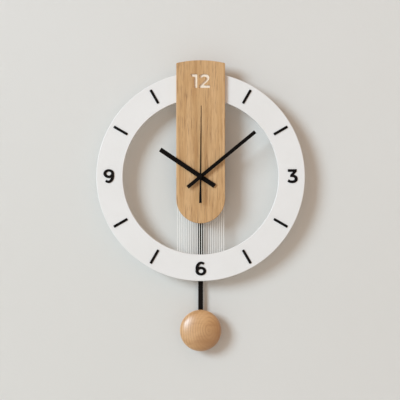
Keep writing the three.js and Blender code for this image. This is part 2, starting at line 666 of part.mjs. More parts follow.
function makeHanger() {
  const { back, front, low, high, half } = HANGER;
  const plate = slab(polygon([
    [-half, low], [half, low], [half, 64], [13, high], [-13, high], [-half, 64],
  ]), back, front);
  const keyhole = slab(polygon([
    [-3, 70], [3, 70], [3, HOOK_HEIGHT - 1.6], [1.6, HOOK_HEIGHT], [-1.6, HOOK_HEIGHT], [-3, HOOK_HEIGHT - 1.6],
  ]), back - 1, front + 1);
  return cut(plate, keyhole, bar(point([0, 69]), 5, back - 1, front + 1, 20),
    ...Object.values(HANGER_SCREWS).map((at) => bar(point(at), 1.5, back - 1, front + 1)));
}

piece('wall_hanger', STEEL, makeHanger());
for (const [side, at] of Object.entries(HANGER_SCREWS)) {
  piece(`hanger_screw_${side}`, ZINC, screw(point(at), 2.6, 1, 0.2, HANGER.back - TOUCH, 8));
}

// ---------------------------------------------------------------------------- threads

// The cord lies against the back of the board at the top and slants back to pass behind the ring.
const THREAD_TOP = BOARD.back - 2 * TOUCH - THREAD.radius;

/** The whole lacing: one cord up and down between the two bars, with a small bight at each turn. */
function makeThreads() {
  const { count, pitch, top, bottom, radius } = THREAD;
  const slant = Math.atan2(THREAD_TOP - THREAD.bottomDepth, top - bottom);
  const length = Math.hypot(THREAD_TOP - THREAD.bottomDepth, top - bottom);
  const bight = radius + 0.1;
  const parts = [];
  for (let i = 0; i < count; i += 1) {
    const x = (i - (count - 1) / 2) * pitch;
    const run = new THREE.CylinderGeometry(radius, radius, length, 6).rotateX(slant);
    parts.push(solid(run.translate(x, (top + bottom) / 2, (THREAD_TOP + THREAD.bottomDepth) / 2)));
    if (i < count - 1) {
      const [y, z] = i % 2 ? [top, THREAD_TOP] : [bottom, THREAD.bottomDepth];
      parts.push(block([x - bight, x + pitch + bight], [y - bight, y + bight], [z - bight, z + bight]));
    }
  }
  return joined(...parts);
}

/** The lower bar, with a foot at each end that reaches the back of the ring past the cord. */
function makeLowerBar() {
  const { half, foot, low, high, back } = LOWER_BAR;
  const feet = [[-half, foot - half], [half - foot, half]];
  return joined(
    block([-half, half], [low, high], [back, THREAD.bottomDepth - THREAD.radius - TOUCH]),
    ...feet.map((span) => block(span, [low, high], [back, RING.back - TOUCH])),
  );
}

piece('threads', THREAD_WHITE, makeThreads());
piece('upper_thread_bar', OAK, block([-33.6, 33.6], [-41, -36.4], [16.5, THREAD_TOP - THREAD.radius - FIT]));
piece('lower_thread_bar', WHITE_LACQUER, makeLowerBar());

// ---------------------------------------------------------------------------- placing

clock.rotation.x = Math.PI / 2;
clock.position.z = -HOOK_HEIGHT;
clock.updateMatrixWorld(true);

export default clock;
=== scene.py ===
"""A pendulum wall clock: an oak board in a white dial ring, bar hands, taut threads and a turned bob.

Lengths in the dataclasses are millimetres in the dial's own frame: x to the right and y up from the
hands' axis, depth forward from the wall. `Dial.spot` turns them into the frame's metres.
"""

from __future__ import annotations

import json
import logging
import math
from collections.abc import Callable, Iterator, Sequence
from contextlib import contextmanager
from dataclasses import dataclass, field
from enum import Enum

import bmesh
import bpy
from mathutils import Matrix, Vector

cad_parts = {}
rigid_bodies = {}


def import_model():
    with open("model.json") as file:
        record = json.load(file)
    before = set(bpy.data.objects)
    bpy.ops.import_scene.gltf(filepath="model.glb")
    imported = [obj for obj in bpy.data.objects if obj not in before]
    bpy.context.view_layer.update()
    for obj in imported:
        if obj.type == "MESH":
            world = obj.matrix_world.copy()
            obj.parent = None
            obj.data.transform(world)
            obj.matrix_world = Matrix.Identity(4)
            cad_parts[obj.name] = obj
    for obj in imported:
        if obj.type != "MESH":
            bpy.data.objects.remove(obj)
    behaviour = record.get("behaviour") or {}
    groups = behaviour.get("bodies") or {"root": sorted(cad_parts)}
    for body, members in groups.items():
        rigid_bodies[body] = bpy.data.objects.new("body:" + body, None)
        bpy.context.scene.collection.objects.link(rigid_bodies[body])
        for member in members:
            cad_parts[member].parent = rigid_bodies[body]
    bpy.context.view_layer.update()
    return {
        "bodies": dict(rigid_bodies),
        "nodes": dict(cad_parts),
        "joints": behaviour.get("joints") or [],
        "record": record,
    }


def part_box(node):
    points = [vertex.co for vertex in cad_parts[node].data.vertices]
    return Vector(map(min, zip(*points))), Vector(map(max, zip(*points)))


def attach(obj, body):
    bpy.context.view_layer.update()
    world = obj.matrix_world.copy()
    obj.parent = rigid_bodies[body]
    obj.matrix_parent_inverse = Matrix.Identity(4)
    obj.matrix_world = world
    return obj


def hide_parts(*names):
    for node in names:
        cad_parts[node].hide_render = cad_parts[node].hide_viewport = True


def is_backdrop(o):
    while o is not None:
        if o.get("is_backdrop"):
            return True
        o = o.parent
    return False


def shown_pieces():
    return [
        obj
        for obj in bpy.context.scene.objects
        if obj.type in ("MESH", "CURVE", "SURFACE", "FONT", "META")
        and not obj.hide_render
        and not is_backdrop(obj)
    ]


log = logging.getLogger("clock")

MM = 0.001
HOOK_HEIGHT = 78.0  # the hook above the hands' axis
CIRCLE_HANDLE = 0.5523  # a quarter circle's Bezier handle, as a share of its radius
QUARTER_TURN = math.pi / 2
THROUGH = 2.0  # how far a cutting tool stands past the face it cuts
MERGE_GAP = 0.002  # points closer than this become one
CARRIED_GAP = 0.001  # the same, on a mesh carried over from the frame
FLAT_ANGLE = 0.5  # carried faces within this many degrees of each other become one
CURVE_STEPS = 10  # the straight pieces in each curve of an outline
EDGE_STEPS = 2  # the faces across an outline's rounded edge, beyond the first
CURVED_STEP = 6  # how many numbers a curved step has
DRILL_SIDES = 24
BORE_SIDES = 64
HOUR_ANGLE = 30  # degrees of the dial in an hour
MIX_SHARE, MIX_FIRST, MIX_SECOND, MIX_RESULT = 0, 6, 7, 2  # a colour mix node's sockets

Colour = tuple[float, float, float]
Point = tuple[float, float]
Depths = tuple[float, float]
Step = tuple  # (x, y) for a straight line, or (x1, y1, x2, y2, x, y) for a curve
Socket = bpy.types.NodeSocket
Piece = bpy.types.Object


class Dial:
    """The dial's own frame."""

    @staticmethod
    def spot(x: float, y: float, depth: float) -> Vector:
        """The frame's point for a dial position in millimetres."""
        return Vector((x, -depth, y - HOOK_HEIGHT)) * MM


class Axis(Enum):
    """The direction in which a pattern runs."""

    X = "X"
    Y = "Y"
    Z = "Z"


class Pattern(Enum):
    """How a wave texture runs."""

    BANDS = "BANDS"
    RINGS = "RINGS"


class Join(Enum):
    """What a tool does to the body it meets."""

    ADD = "UNION"
    CUT = "DIFFERENCE"


class Part(Enum):
    """What is picked out of a mesh."""

    POINTS = "VERT"
    EDGES = "EDGE"


# ------------------------------------------------------------------------------- node recipes


def blended(tree: bpy.types.NodeTree, share: Socket, first: Socket, second: Socket) -> Socket:
    """Blends two shaders.

    Args:
        tree: The node tree they are in.
        share: How much of the second shows.
        first: The first shader.
        second: The second shader.

    Returns:
        The blend.
    """
    node = tree.nodes.new("ShaderNodeMixShader")
    for feed, socket in zip((share, first, second), node.inputs):
        tree.links.new(feed, socket)
    return node.outputs["Shader"]


class Recipe:
    """Builds one node material, a step at a time."""

    def __init__(self, name: str) -> None:
        """Starts a material on its principled shader.

        Args:
            name: The material's name.
        """
        self.material = bpy.data.materials.new(name)
        self.material.use_nodes = True
        self.tree = self.material.node_tree
        self.nodes, self.links = self.tree.nodes, self.tree.links
        self.shader = self.nodes["Principled BSDF"]
        self.output = self.nodes["Material Output"]
        self.coordinates = self.nodes.new("ShaderNodeTexCoord").outputs["Object"]

    def set(self, **values: float) -> None:
        """Sets the shader's own sockets, named with _ for a space."""
        for name, value in values.items():
            self.shader.inputs[name.replace("_", " ")].default_value = value

    def step(self, kind: str, feed: Socket, into: str | int,
             **values: float | Sequence[float]) -> bpy.types.Node:
        """Adds a node that one socket feeds.

        Args:
            kind: Blender's name for the node.
            feed: The socket that feeds it.
            into: The socket that is fed, by its name or number.
            values: Its other sockets' values, named with _ for a space.

        Returns:
            The node.
        """
        node = self.nodes.new(kind)
        self.links.new(feed, node.inputs[into])
        for name, value in values.items():
            node.inputs[name.replace("_", " ")].default_value = value
        return node

    def place(self, scale: Sequence[float] = (1, 1, 1), at: Sequence[float] = (0, 0, 0),
              turn: Sequence[float] = (0, 0, 0)) -> Socket:
        """Object coordinates, stretched, moved and turned.

        Args:
            scale: The stretch along each axis.
            at: The pattern's centre, in metres.
            turn: The turn about each axis, in degrees.

        Returns:
            The coordinates.
        """
        moved = Matrix.Diagonal((*scale, 1)) @ Vector((*at, 1))
        spun = Matrix.Identity(4)
        for axis, angle in zip("XYZ", turn):
            spun = Matrix.Rotation(math.radians(angle), 4, axis) @ spun
        node = self.step("ShaderNodeMapping", self.coordinates, "Vector", Scale=scale,
                         Rotation=[math.radians(angle) for angle in turn],
                         Location=-(spun @ moved).to_3d())
        return node.outputs["Vector"]

    def noise(self, scale: float, stretch: Sequence[float] = (1, 1, 1), detail: float = 4,
              roughness: float = 0.5, distortion: float = 0) -> Socket:
        """A noise texture.

        Args:
            scale: How fine it is.
            stretch: Its fineness along each axis, as a share of the scale.
            detail: How many finer layers lie on it.
            roughness: How strong those layers are.
            distortion: How far it is warped.

        Returns:
            Its strength at each point.
        """
        node = self.step("ShaderNodeTexNoise", self.place(stretch), "Vector", Scale=scale,
                         Detail=detail, Roughness=roughness, Distortion=distortion)
        return node.outputs["Fac"]

    def wave(self, where: Socket, pattern: Pattern, axis: Axis, scale: float, distortion: float,
             detail_scale: float = 1, detail: float = 2) -> Socket:
        """A wave texture.

        Args:
            where: The coordinates it reads.
            pattern: Straight bands or closed rings.
            axis: The axis it crosses, or that its rings go round.
            scale: How close the waves are.
            distortion: How far they are warped.
            detail_scale: How fine the warping is.
            detail: How many layers the warping has.

        Returns:
            Its strength at each point.
        """
        node = self.step("ShaderNodeTexWave", where, "Vector", Scale=scale, Distortion=distortion,
                         Detail=detail, Detail_Scale=detail_scale)
        node.wave_type = pattern.value
        if pattern is Pattern.BANDS:
            node.bands_direction = axis.value
        else:
            node.rings_direction = axis.value
        return node.outputs["Fac"]

    def ramp(self, strength: Socket, *stops: tuple[float, Colour]) -> Socket:
        """Colours along a strength.

        Args:
            strength: What picks the colour.
            stops: Each stop's place and its colour.

        Returns:
            The colour.
        """
        node = self.step("ShaderNodeValToRGB", strength, "Fac")
        elements = node.color_ramp.elements
        while len(elements) < len(stops):
            elements.new(0.5)
        for element, (position, colour) in zip(elements, stops):
            element.position, element.color = position, (*colour, 1)
        return node.outputs["Color"]

    def span(self, strength: Socket, low: float, high: float, least: float = 0,
             most: float = 1) -> Socket:
        """A strength stretched to another range.

        Args:
            strength: The strength.
            low: Where it starts to count.
            high: Where it counts in full.
            least: What low becomes.
            most: What high becomes.

        Returns:
            The stretched strength.
        """
        node = self.step("ShaderNodeMapRange", strength, "Value", From_Min=low, From_Max=high,
                         To_Min=least, To_Max=most)
        return node.outputs["Result"]

    def mix(self, share: Socket, first: Socket | Colour, second: Socket | Colour) -> Socket:
        """Two colours blended.

        Args:
            share: How much of the second shows.
            first: The first colour.
            second: The second colour.

        Returns:
            The blend.
        """
        node = self.nodes.new("ShaderNodeMix")
        node.data_type = "RGBA"
        self.links.new(share, node.inputs[MIX_SHARE])
        for index, colour in ((MIX_FIRST, first), (MIX_SECOND, second)):
            if isinstance(colour, Socket):
                self.links.new(colour, node.inputs[index])
            else:
                node.inputs[index].default_value = (*colour, 1)
        return node.outputs[MIX_RESULT]

    def tint(self, under: Socket | Colour, over: Socket | Colour, strength: Socket, low: float,
             high: float, least: float = 0, most: float = 1) -> Socket:
        """Lays one colour over another as a strength rises.

        Args:
            under: The colour below.
            over: The colour laid over it.
            strength: What decides how much of it shows.
            low: The strength at which the least shows.
            high: The strength at which the most shows.
            least: The share that shows at low.
            most: The share that shows at high.

        Returns:
            The blend.
        """
        return self.mix(self.span(strength, low, high, least, most), under, over)

    def paint(self, colour: Socket) -> None:
        """Feeds a colour to the shader."""
        self.links.new(colour, self.shader.inputs["Base Color"])

    def gloss(self, strength: Socket, smooth: float, rough: float) -> None:
        """Lets a strength vary the roughness between two values."""
        self.links.new(self.span(strength, 0, 1, smooth, rough), self.shader.inputs["Roughness"])

    def bump(self, height: Socket, depth: float, under: Socket | None = None) -> Socket:
        """Raises the surface by a strength.

        Args:
            height: The strength.
            depth: How far it raises the surface; below nought it sinks it.
            under: A bump already made, which this one lies on.

        Returns:
            The bumped normal.
        """
        node = self.step("ShaderNodeBump", height, "Height", Distance=depth * MM)
        if under is not None:
            self.links.new(under, node.inputs["Normal"])
        self.links.new(node.outputs["Normal"], self.shader.inputs["Normal"])
        return node.outputs["Normal"]


# ------------------------------------------------------------------------------- finishes


@dataclass(frozen=True)
class FlatSawnOak:
    """Clear-lacquered oak, its grain standing up the board."""

    light: Colour = (0.690, 0.440, 0.221)
    middle: Colour = (0.606, 0.369, 0.167)
    dark: Colour = (0.425, 0.222, 0.080)
    pore: Colour = (0.270, 0.135, 0.050)

    def material(self) -> bpy.types.Material:
        """The growth bands, fibres and open pores of the wood.

        Returns:
            The material.
        """
        recipe = Recipe("oak_finish")
        grown = recipe.place((1, 1, 0.075), at=(0.012, 0, 0))
        bands = recipe.wave(grown, Pattern.BANDS, Axis.X, 42, 7.5, detail_scale=9, detail=3)
        tone = recipe.noise(70, (1, 1, 0.10), detail=5, roughness=0.6, distortion=0.4)
        fibre = recipe.noise(1500, (1, 1, 0.018), detail=3, roughness=0.6)
        pores = recipe.noise(1050, (1, 1, 0.045), detail=2)
        wood = recipe.ramp(tone, (0.28, self.dark), (0.46, self.middle), (0.68, self.light))
        streak = recipe.noise(420, (1, 1, 0.022), detail=3, roughness=0.55)
        wood = recipe.tint(wood, self.dark, bands, 0.55, 1, most=0.30)
        wood = recipe.tint(wood, self.dark, streak, 0.54, 0.70, most=0.50)
        wood = recipe.tint(wood, self.dark, fibre, 0.30, 0.70, least=0.26, most=0)
        open_pore = recipe.span(pores, 0.58, 0.68, most=0.72)
        recipe.paint(recipe.mix(open_pore, wood, self.pore))
        recipe.gloss(fibre, 0.46, 0.60)
        recipe.bump(open_pore, -0.10, recipe.bump(fibre, 0.03))
        recipe.set(Coat_Weight=0.08, Coat_Roughness=0.4)
        return recipe.material


@dataclass(frozen=True)
class TurnedBeech:
    """Turned wood: growth rings cut across, so they close into ovals.

    `heart` is the centre of the rings. The other place is where a broad painted shade starts, which darkens
    the bob towards its lower right, away from the light. Both are places on the dial, at `depth`.
    """

    light: Colour = (0.660, 0.400, 0.190)
    middle: Colour = (0.585, 0.330, 0.143)
    dark: Colour = (0.385, 0.182, 0.060)
    heart: Point = (12.0, -221.0)
    # where the painted shade starts, at the bob's upper left; it darkens the bob towards its lower right
    painted_shade_origin: Point = (-25.0, -203.0)
    depth: float = 24

    def material(self) -> bpy.types.Material:
        """The oval rings round the heart, a painted shade darkening the lower right, and short flecks along
        the grain.

        Returns:
            The material.
        """
        recipe = Recipe("turned_wood_finish")
        ovals = recipe.place((1.12, 1, 0.74), at=Dial.spot(*self.heart, self.depth))
        rings = recipe.wave(ovals, Pattern.RINGS, Axis.Y, 80, 3.2, detail_scale=0.7)
        patch = recipe.noise(62, (1, 1, 0.8), detail=2)
        # painted shade: a broad slanting band darkens the bob towards its lower right, away from the light
        slant = recipe.place(at=Dial.spot(*self.painted_shade_origin, self.depth), turn=(0, -39, 0))
        painted_limb_shade = recipe.wave(slant, Pattern.BANDS, Axis.X, 2.6, 0)
        tone = recipe.noise(90, (0.25, 1, 1), roughness=0.55, distortion=0.3)
        fleck = recipe.noise(1300, (0.06, 1, 1), detail=2)
        wood = recipe.ramp(tone, (0.25, self.dark), (0.48, self.middle), (0.72, self.light))
        ringed = recipe.tint(wood, self.dark, rings, 0.45, 1, most=0.62)
        wood = recipe.tint(wood, ringed, patch, 0.34, 0.62, least=0.18)
        wood = recipe.tint(wood, self.dark, painted_limb_shade, 0.45, 1, most=0.85)
        recipe.paint(recipe.tint(wood, self.dark, fleck, 0.56, 0.72, most=0.35))
        recipe.gloss(rings, 0.36, 0.48)
        recipe.bump(fleck, -0.03)
        recipe.set(Coat_Weight=1.0, Coat_Roughness=0.36, Coat_IOR=1.68, Specular_IOR_Level=0.3)
        return recipe.material


@dataclass(frozen=True)
class Lacquer:
    """A sprayed coat over board or metal, with faint orange peel."""

    name: str
    colour: Colour
    shade: Colour
    smooth: float
    rough: float
    peel: float = 0.02
    peel_scale: float = 420
    sheen: float = 0.5

    def material(self) -> bpy.types.Material:
        """The coat's slow drift in tone and its peel.

        Returns:
            The material.
        """
        recipe = Recipe(self.name)
        drift = recipe.noise(16, detail=3)
        peel = recipe.noise(self.peel_scale, detail=3)
        recipe.paint(recipe.tint(self.colour, self.shade, drift, 0.3, 0.7))
        recipe.gloss(peel, self.smooth, self.rough)
        recipe.bump(peel, self.peel)
        recipe.set(Specular_IOR_Level=self.sheen)
        return recipe.material


@dataclass(frozen=True)
class Moulded:
    """Moulded plastic with a spark-eroded grain."""

    name: str
    colour: Colour
    shade: Colour
    roughness: float
    grain: float = 0.05
    depth_glow: float = 0

    def material(self) -> bpy.types.Material:
        """The mould's grain, with flow marks in the tone.

        Returns:
            The material.
        """
        recipe = Recipe(self.name)
        flow = recipe.noise(60, (1, 1, 0.4), roughness=0.6, distortion=0.5)
        grain = recipe.noise(2600, detail=3, roughness=0.6)
        recipe.paint(recipe.tint(self.colour, self.shade, flow, 0.3, 0.7))
        recipe.gloss(grain, self.roughness - 0.06, self.roughness + 0.12)
        recipe.bump(grain, self.grain)
        recipe.set(Subsurface_Weight=self.depth_glow)
        return recipe.material


@dataclass(frozen=True)
class Metal:
    """Bare or plated metal, brushed along x where `brushed` is above nought."""

    name: str
    colour: Colour
    stain: Colour
    roughness: float
    brushed: float = 0

    def material(self) -> bpy.types.Material:
        """The brush lines and a slow stain.

        Returns:
            The material.
        """
        recipe = Recipe(self.name)
        along = (0.04, 1, 1) if self.brushed else (1, 1, 1)
        lines = recipe.noise(2400, along, detail=3, roughness=0.6)
        stain = recipe.noise(110, detail=5, roughness=0.65)
        recipe.paint(recipe.tint(self.colour, self.stain, stain, 0.42, 0.75, most=0.6))
        recipe.gloss(lines, self.roughness - 0.08, self.roughness + 0.14)
        recipe.bump(lines, 0.012 + self.brushed)
        recipe.set(Metallic=1.0)
        return recipe.material


@dataclass(frozen=True)
class Winding:
    """Enamelled wire wound in close turns, seen as fine ridges."""

    colour: Colour = (0.62, 0.24, 0.10)
    # dark colour: painted shade between the turns, also laid on at random as darker tone
    groove_shade_and_tone: Colour = (0.16, 0.05, 0.02)

    def material(self) -> bpy.types.Material:
        """The turns of wire with painted shade in the crevices between them, and a slow drift of darker
        tone.

        Returns:
            The material.
        """
        recipe = Recipe("winding_finish")
        turns = recipe.wave(recipe.place(), Pattern.BANDS, Axis.Y, 1100, 0.3, detail_scale=2)
        drift = recipe.noise(300, detail=3)
        # painted shade: the dark colour fills the crevices between the turns; the drift then darkens the
        # wire at random
        wire = recipe.tint(self.groove_shade_and_tone, self.colour, turns, 0.1, 0.6)
        recipe.paint(recipe.tint(wire, self.groove_shade_and_tone, drift, 0.4, 0.8, most=0.3))
        recipe.gloss(turns, 0.28, 0.46)
        recipe.bump(turns, 0.08)
        recipe.set(Metallic=0.85)
        return recipe.material


@dataclass(frozen=True)
class CircuitCoat:
    """Green solder resist over faint copper tracks."""

    coat: Colour = (0.022, 0.105, 0.045)
    track: Colour = (0.05, 0.19, 0.08)

    def material(self) -> bpy.types.Material:
        """The tracks that show through the coat.

        Returns:
            The material.
        """
        recipe = Recipe("circuit_finish")
        slant = recipe.place(turn=(0, 45, 0))
        lanes = recipe.wave(slant, Pattern.BANDS, Axis.X, 230, 2.4, detail_scale=40, detail=1)
        weave = recipe.noise(1800, detail=2)
        recipe.paint(recipe.tint(self.coat, self.track, lanes, 0.55, 0.62))
        recipe.gloss(weave, 0.26, 0.42)
        recipe.bump(lanes, 0.03)
        return recipe.material


@dataclass(frozen=True)
class TwistedCotton:
    """White cotton cord, its strands laid in a slant round it."""

    light: Colour = (0.97, 0.965, 0.94)
    # darker colour: painted shade between the strands, also laid on at random as tone
    strand_shade_and_tone: Colour = (0.80, 0.78, 0.74)

    def material(self) -> bpy.types.Material:
        """The slanting strands with painted shade between them, and the loose fibre on them.

        Returns:
            The material.
        """
        recipe = Recipe("thread_finish")
        slant = recipe.place((1, 1, 0.62), turn=(0, 38, 0))
        lay = recipe.wave(slant, Pattern.BANDS, Axis.Z, 480, 0.6, detail_scale=20)
        fuzz = recipe.noise(5200, detail=3, roughness=0.7)
        # painted shade: the darker colour fills the hollows between the strands; the fuzz then adds it at
        # random
        strand = recipe.tint(self.strand_shade_and_tone, self.light, lay, 0.05, 0.45)
        recipe.paint(recipe.tint(strand, self.strand_shade_and_tone, fuzz, 0.3, 0.6, least=0.18, most=0))
        recipe.bump(lay, 0.12)
        recipe.set(Roughness=0.9, Sheen_Weight=0.3)
        return recipe.material


@dataclass(frozen=True)
class CellSleeve:
    """A dry cell: a two-tone shrink sleeve with bare metal at both ends."""

    sleeve: Colour = (0.045, 0.14, 0.25)
    band: Colour = (0.55, 0.38, 0.14)
    scuff: Colour = (0.5, 0.5, 0.5)
    metal: Colour = (0.62, 0.62, 0.60)
    low: float = -24.9
    high: float = 24.6
    band_height: float = 14
    bare_height: float = 0.9
    blur: float = 0.05

    def material(self) -> bpy.types.Material:
        """The sleeve's two tones and the bare ends, told apart by height.

        Returns:
            The material.
        """
        recipe = Recipe("cell_finish")
        height = recipe.step("ShaderNodeSeparateXYZ", recipe.coordinates, "Vector").outputs["Z"]

        def above(level: float) -> Socket:
            """1 above a height on the dial, else 0."""
            edge = Dial.spot(0, level, 0).z
            return recipe.span(height, edge - self.blur * MM, edge + self.blur * MM)

        scuffs = recipe.noise(500, roughness=0.7)
        sleeve = recipe.mix(above(self.high - self.band_height), self.sleeve, self.band)
        sleeve = recipe.tint(sleeve, self.scuff, scuffs, 0.6, 0.8, most=0.25)
        below = recipe.span(above(self.low + self.bare_height), 0, 1, 1, 0)
        bare = recipe.step("ShaderNodeMath", above(self.high - self.bare_height), 0)
        bare.operation = "MAXIMUM"
        recipe.links.new(below, bare.inputs[1])
        ends = bare.outputs["Value"]
        recipe.paint(recipe.mix(ends, sleeve, self.metal))
        recipe.links.new(ends, recipe.shader.inputs["Metallic"])
        recipe.gloss(scuffs, 0.22, 0.40)
        recipe.bump(scuffs, 0.01)
        return recipe.material


FINISHES = {
    "oak": FlatSawnOak(),
    "beech": TurnedBeech(),
    "white_lacquer": Lacquer("ring_lacquer", (0.80, 0.79, 0.775), (0.775, 0.765, 0.745), 0.38, 0.52),
    "white_paint": Lacquer("cream_paint", (0.93, 0.83, 0.69), (0.90, 0.78, 0.62), 0.5, 0.65, peel=0.03),
    "numeral_black": Lacquer("numeral_coat", (0.005, 0.004, 0.004), (0.008, 0.006, 0.005), 0.5, 0.66,
                             sheen=0.07),
    "hand_black": Lacquer("hand_coat", (0.004, 0.0035, 0.003), (0.007, 0.005, 0.0045), 0.34, 0.5,
                          peel=0.01, sheen=0.06),
    "rod_black": Lacquer("rod_coat", (0.005, 0.004, 0.0035), (0.008, 0.006, 0.005), 0.4, 0.55,
                         peel=0.015, sheen=0.07),
    "thread": TwistedCotton(),
    "case_plastic": Moulded("case_finish", (0.018, 0.018, 0.020), (0.024, 0.024, 0.027), 0.46),
    "wheel_plastic": Moulded("acetal_finish", (0.78, 0.74, 0.62), (0.72, 0.67, 0.54), 0.32,
                             grain=0.02, depth_glow=0.1),
    "red_plastic": Moulded("red_acetal_finish", (0.45, 0.06, 0.04), (0.38, 0.045, 0.03), 0.34,
                           grain=0.02, depth_glow=0.05),
    "brass": Metal("brass_finish", (0.66, 0.47, 0.17), (0.42, 0.27, 0.09), 0.28),
    "steel": Metal("steel_finish", (0.52, 0.53, 0.54), (0.38, 0.38, 0.37), 0.32, brushed=0.02),
    "zinc": Metal("zinc_finish", (0.58, 0.60, 0.62), (0.44, 0.43, 0.36), 0.24),
    "copper": Winding(),
    "circuit_green": CircuitCoat(),
    "chip_black": Moulded("chip_finish", (0.015, 0.015, 0.016), (0.022, 0.022, 0.023), 0.5, grain=0.03),
    "ferrite": Metal("ferrite_finish", (0.10, 0.10, 0.11), (0.06, 0.06, 0.06), 0.5),
    "battery_wrap": CellSleeve(),
}


# ------------------------------------------------------------------------------- the workbench


def alone(piece: Piece) -> None:
    """Selects one piece and makes it active.

    Args:
        piece: The piece.
    """
    bpy.ops.object.select_all(action="DESELECT")
    piece.hide_set(False)
    piece.select_set(True)
    bpy.context.view_layer.objects.active = piece


def added(name: str, data: bpy.types.ID) -> Piece:
    """Adds an object to the scene.

    Args:
        name: Its name.
        data: Its mesh, curve, light or camera.

    Returns:
        The object.
    """
    piece = bpy.data.objects.new(name, data)
    bpy.context.scene.collection.objects.link(piece)
    return piece


@contextmanager
def editing(piece: Piece) -> Iterator[None]:
    """Opens a piece in edit mode with nothing selected.

    Args:
        piece: The mesh.

    Yields:
        Nothing; edit mode ends with the block.
    """
    alone(piece)
    bpy.ops.object.mode_set(mode="EDIT")
    bpy.ops.mesh.select_all(action="DESELECT")
    yield
    bpy.ops.object.mode_set(mode="OBJECT")


def take_all() -> None:
    """Selects the whole mesh, in edit mode."""
    bpy.ops.mesh.select_all(action="SELECT")


def pick(piece: Piece, kind: Part, test: Callable[[Vector], bool]) -> None:
    """Selects the points that pass a test, or the edges whose two ends do, in edit mode.

    Args:
        piece: The mesh.
        kind: Points or edges.
        test: Takes a point's place.
    """
    bpy.ops.mesh.select_mode(type=kind.value)
    mesh = bmesh.from_edit_mesh(piece.data)
    if kind is Part.POINTS:
        for vertex in mesh.verts:
            vertex.select_set(test(vertex.co))
    else:
        for edge in mesh.edges:
            edge.select_set(all(test(vertex.co) for vertex in edge.verts))
    bmesh.update_edit_mesh(piece.data)


def named(name: str) -> Piece:
    """Names the piece just added and sets its place into its mesh.

    Args:
        name: The piece's name.

    Returns:
        The piece.
    """
    piece = bpy.context.active_object
    piece.name = piece.data.name = name
    bpy.ops.object.transform_apply(location=True, rotation=True, scale=True)
    return piece


def as_mesh(curve: Piece) -> Piece:
    """Makes a curve a mesh.

    Args:
        curve: The curve.

    Returns:
        The mesh.
    """
    alone(curve)
    bpy.ops.object.convert(target="MESH")
    return bpy.context.active_object


def modify(piece: Piece, kind: str, **settings: object) -> None:
    """Adds a modifier and applies it.

    Args:
        piece: The mesh it works on.
        kind: Blender's name for the modifier.
        settings: Its settings.
    """
    alone(piece)
    modifier = piece.modifiers.new(kind.title(), kind)
    for key, value in settings.items():
        setattr(modifier, key, value)
    bpy.ops.object.modifier_apply(modifier=modifier.name)


def cleaned(piece: Piece) -> Piece:
    """Merges a piece's doubled points and turns its faces outwards.

    Args:
        piece: The mesh.

    Returns:
        The same piece.
    """
    with editing(piece):
        take_all()
        bpy.ops.mesh.remove_doubles(threshold=MERGE_GAP * MM)
        bpy.ops.mesh.normals_make_consistent(inside=False)
    return piece


def softened(piece: Piece, width: float, segments: int = 2, angle: float = 35) -> Piece:
    """Rounds a piece's sharp edges and shades it smooth.

    Args:
        piece: The mesh.
        width: The rounding's width, in millimetres; nought leaves the edges.
        segments: The faces across the rounding.
        angle: The least angle that counts as an edge, in degrees.

    Returns:
        The same piece.
    """
    if width:
        modify(piece, "BEVEL", width=width * MM, segments=segments, limit_method="ANGLE",
               angle_limit=math.radians(angle), harden_normals=False)
    alone(piece)
    bpy.ops.object.shade_smooth_by_angle(angle=math.radians(angle))
    modify(piece, "WEIGHTED_NORMAL", keep_sharp=True)
    return piece


def combined(body: Piece, tools: Sequence[Piece], join: Join) -> Piece:
    """Joins tools to a body or cuts them from it, and clears them away.

    Args:
        body: The mesh that stays.
        tools: The meshes that work on it.
        join: Whether they add to it or cut it.

    Returns:
        The same body.
    """
    for tool in tools:
        modify(body, "BOOLEAN", object=tool, operation=join.value, solver="EXACT")
        bpy.data.objects.remove(tool)
    return body


def block(name: str, low: Vector, high: Vector) -> Piece:
    """A plain block.

    Args:
        name: Its name.
        low: One corner.
        high: The corner across from it.

    Returns:
        The solid.
    """
    bpy.ops.object.select_all(action="DESELECT")
    bpy.ops.mesh.primitive_cube_add(size=1, location=(low + high) / 2)
    bpy.context.active_object.scale = [abs(b - a) for a, b in zip(low, high)]
    return named(name)


def disc(name: str, x: float, y: float, radius: float, back: float, front: float,
         sides: int = 48) -> Piece:
    """A round bar along the depth.

    Args:
        name: Its name.
        x: Its axis, to the right on the dial.
        y: Its axis, up the dial.
        radius: Its radius.
        back: The rear depth.
        front: The front depth.
        sides: The faces round it.

    Returns:
        The solid.
    """
    bpy.ops.object.select_all(action="DESELECT")
    bpy.ops.mesh.primitive_cylinder_add(
        vertices=sides, radius=radius * MM, depth=(front - back) * MM,
        location=Dial.spot(x, y, (back + front) / 2), rotation=(QUARTER_TURN, 0, 0))
    return named(name)


def drill(screw: str, radius: float, back: float, front: float) -> Piece:
    """A drill on a packed screw's own axis.

    Args:
        screw: The screw's node.
        radius: The drill's radius.
        back: The rear depth.
        front: The front depth.

    Returns:
        The cutting tool.
    """
    low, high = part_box(screw)
    x, height = (low[0] + high[0]) / 2 / MM, (low[2] + high[2]) / 2 / MM + HOOK_HEIGHT
    return disc(f"{screw}_hole", x, height, radius, back, front, DRILL_SIDES)


def about_hands(piece: Piece, angle: float) -> Piece:
    """Turns a piece clockwise about the hands' axis.

    Args:
        piece: The mesh.
        angle: The turn, in degrees.

    Returns:
        The same piece.
    """
    centre = Matrix.Translation(Dial.spot(0, 0, 0))
    piece.data.transform(centre @ Matrix.Rotation(math.radians(angle), 4, "Y") @ centre.inverted())
    return piece


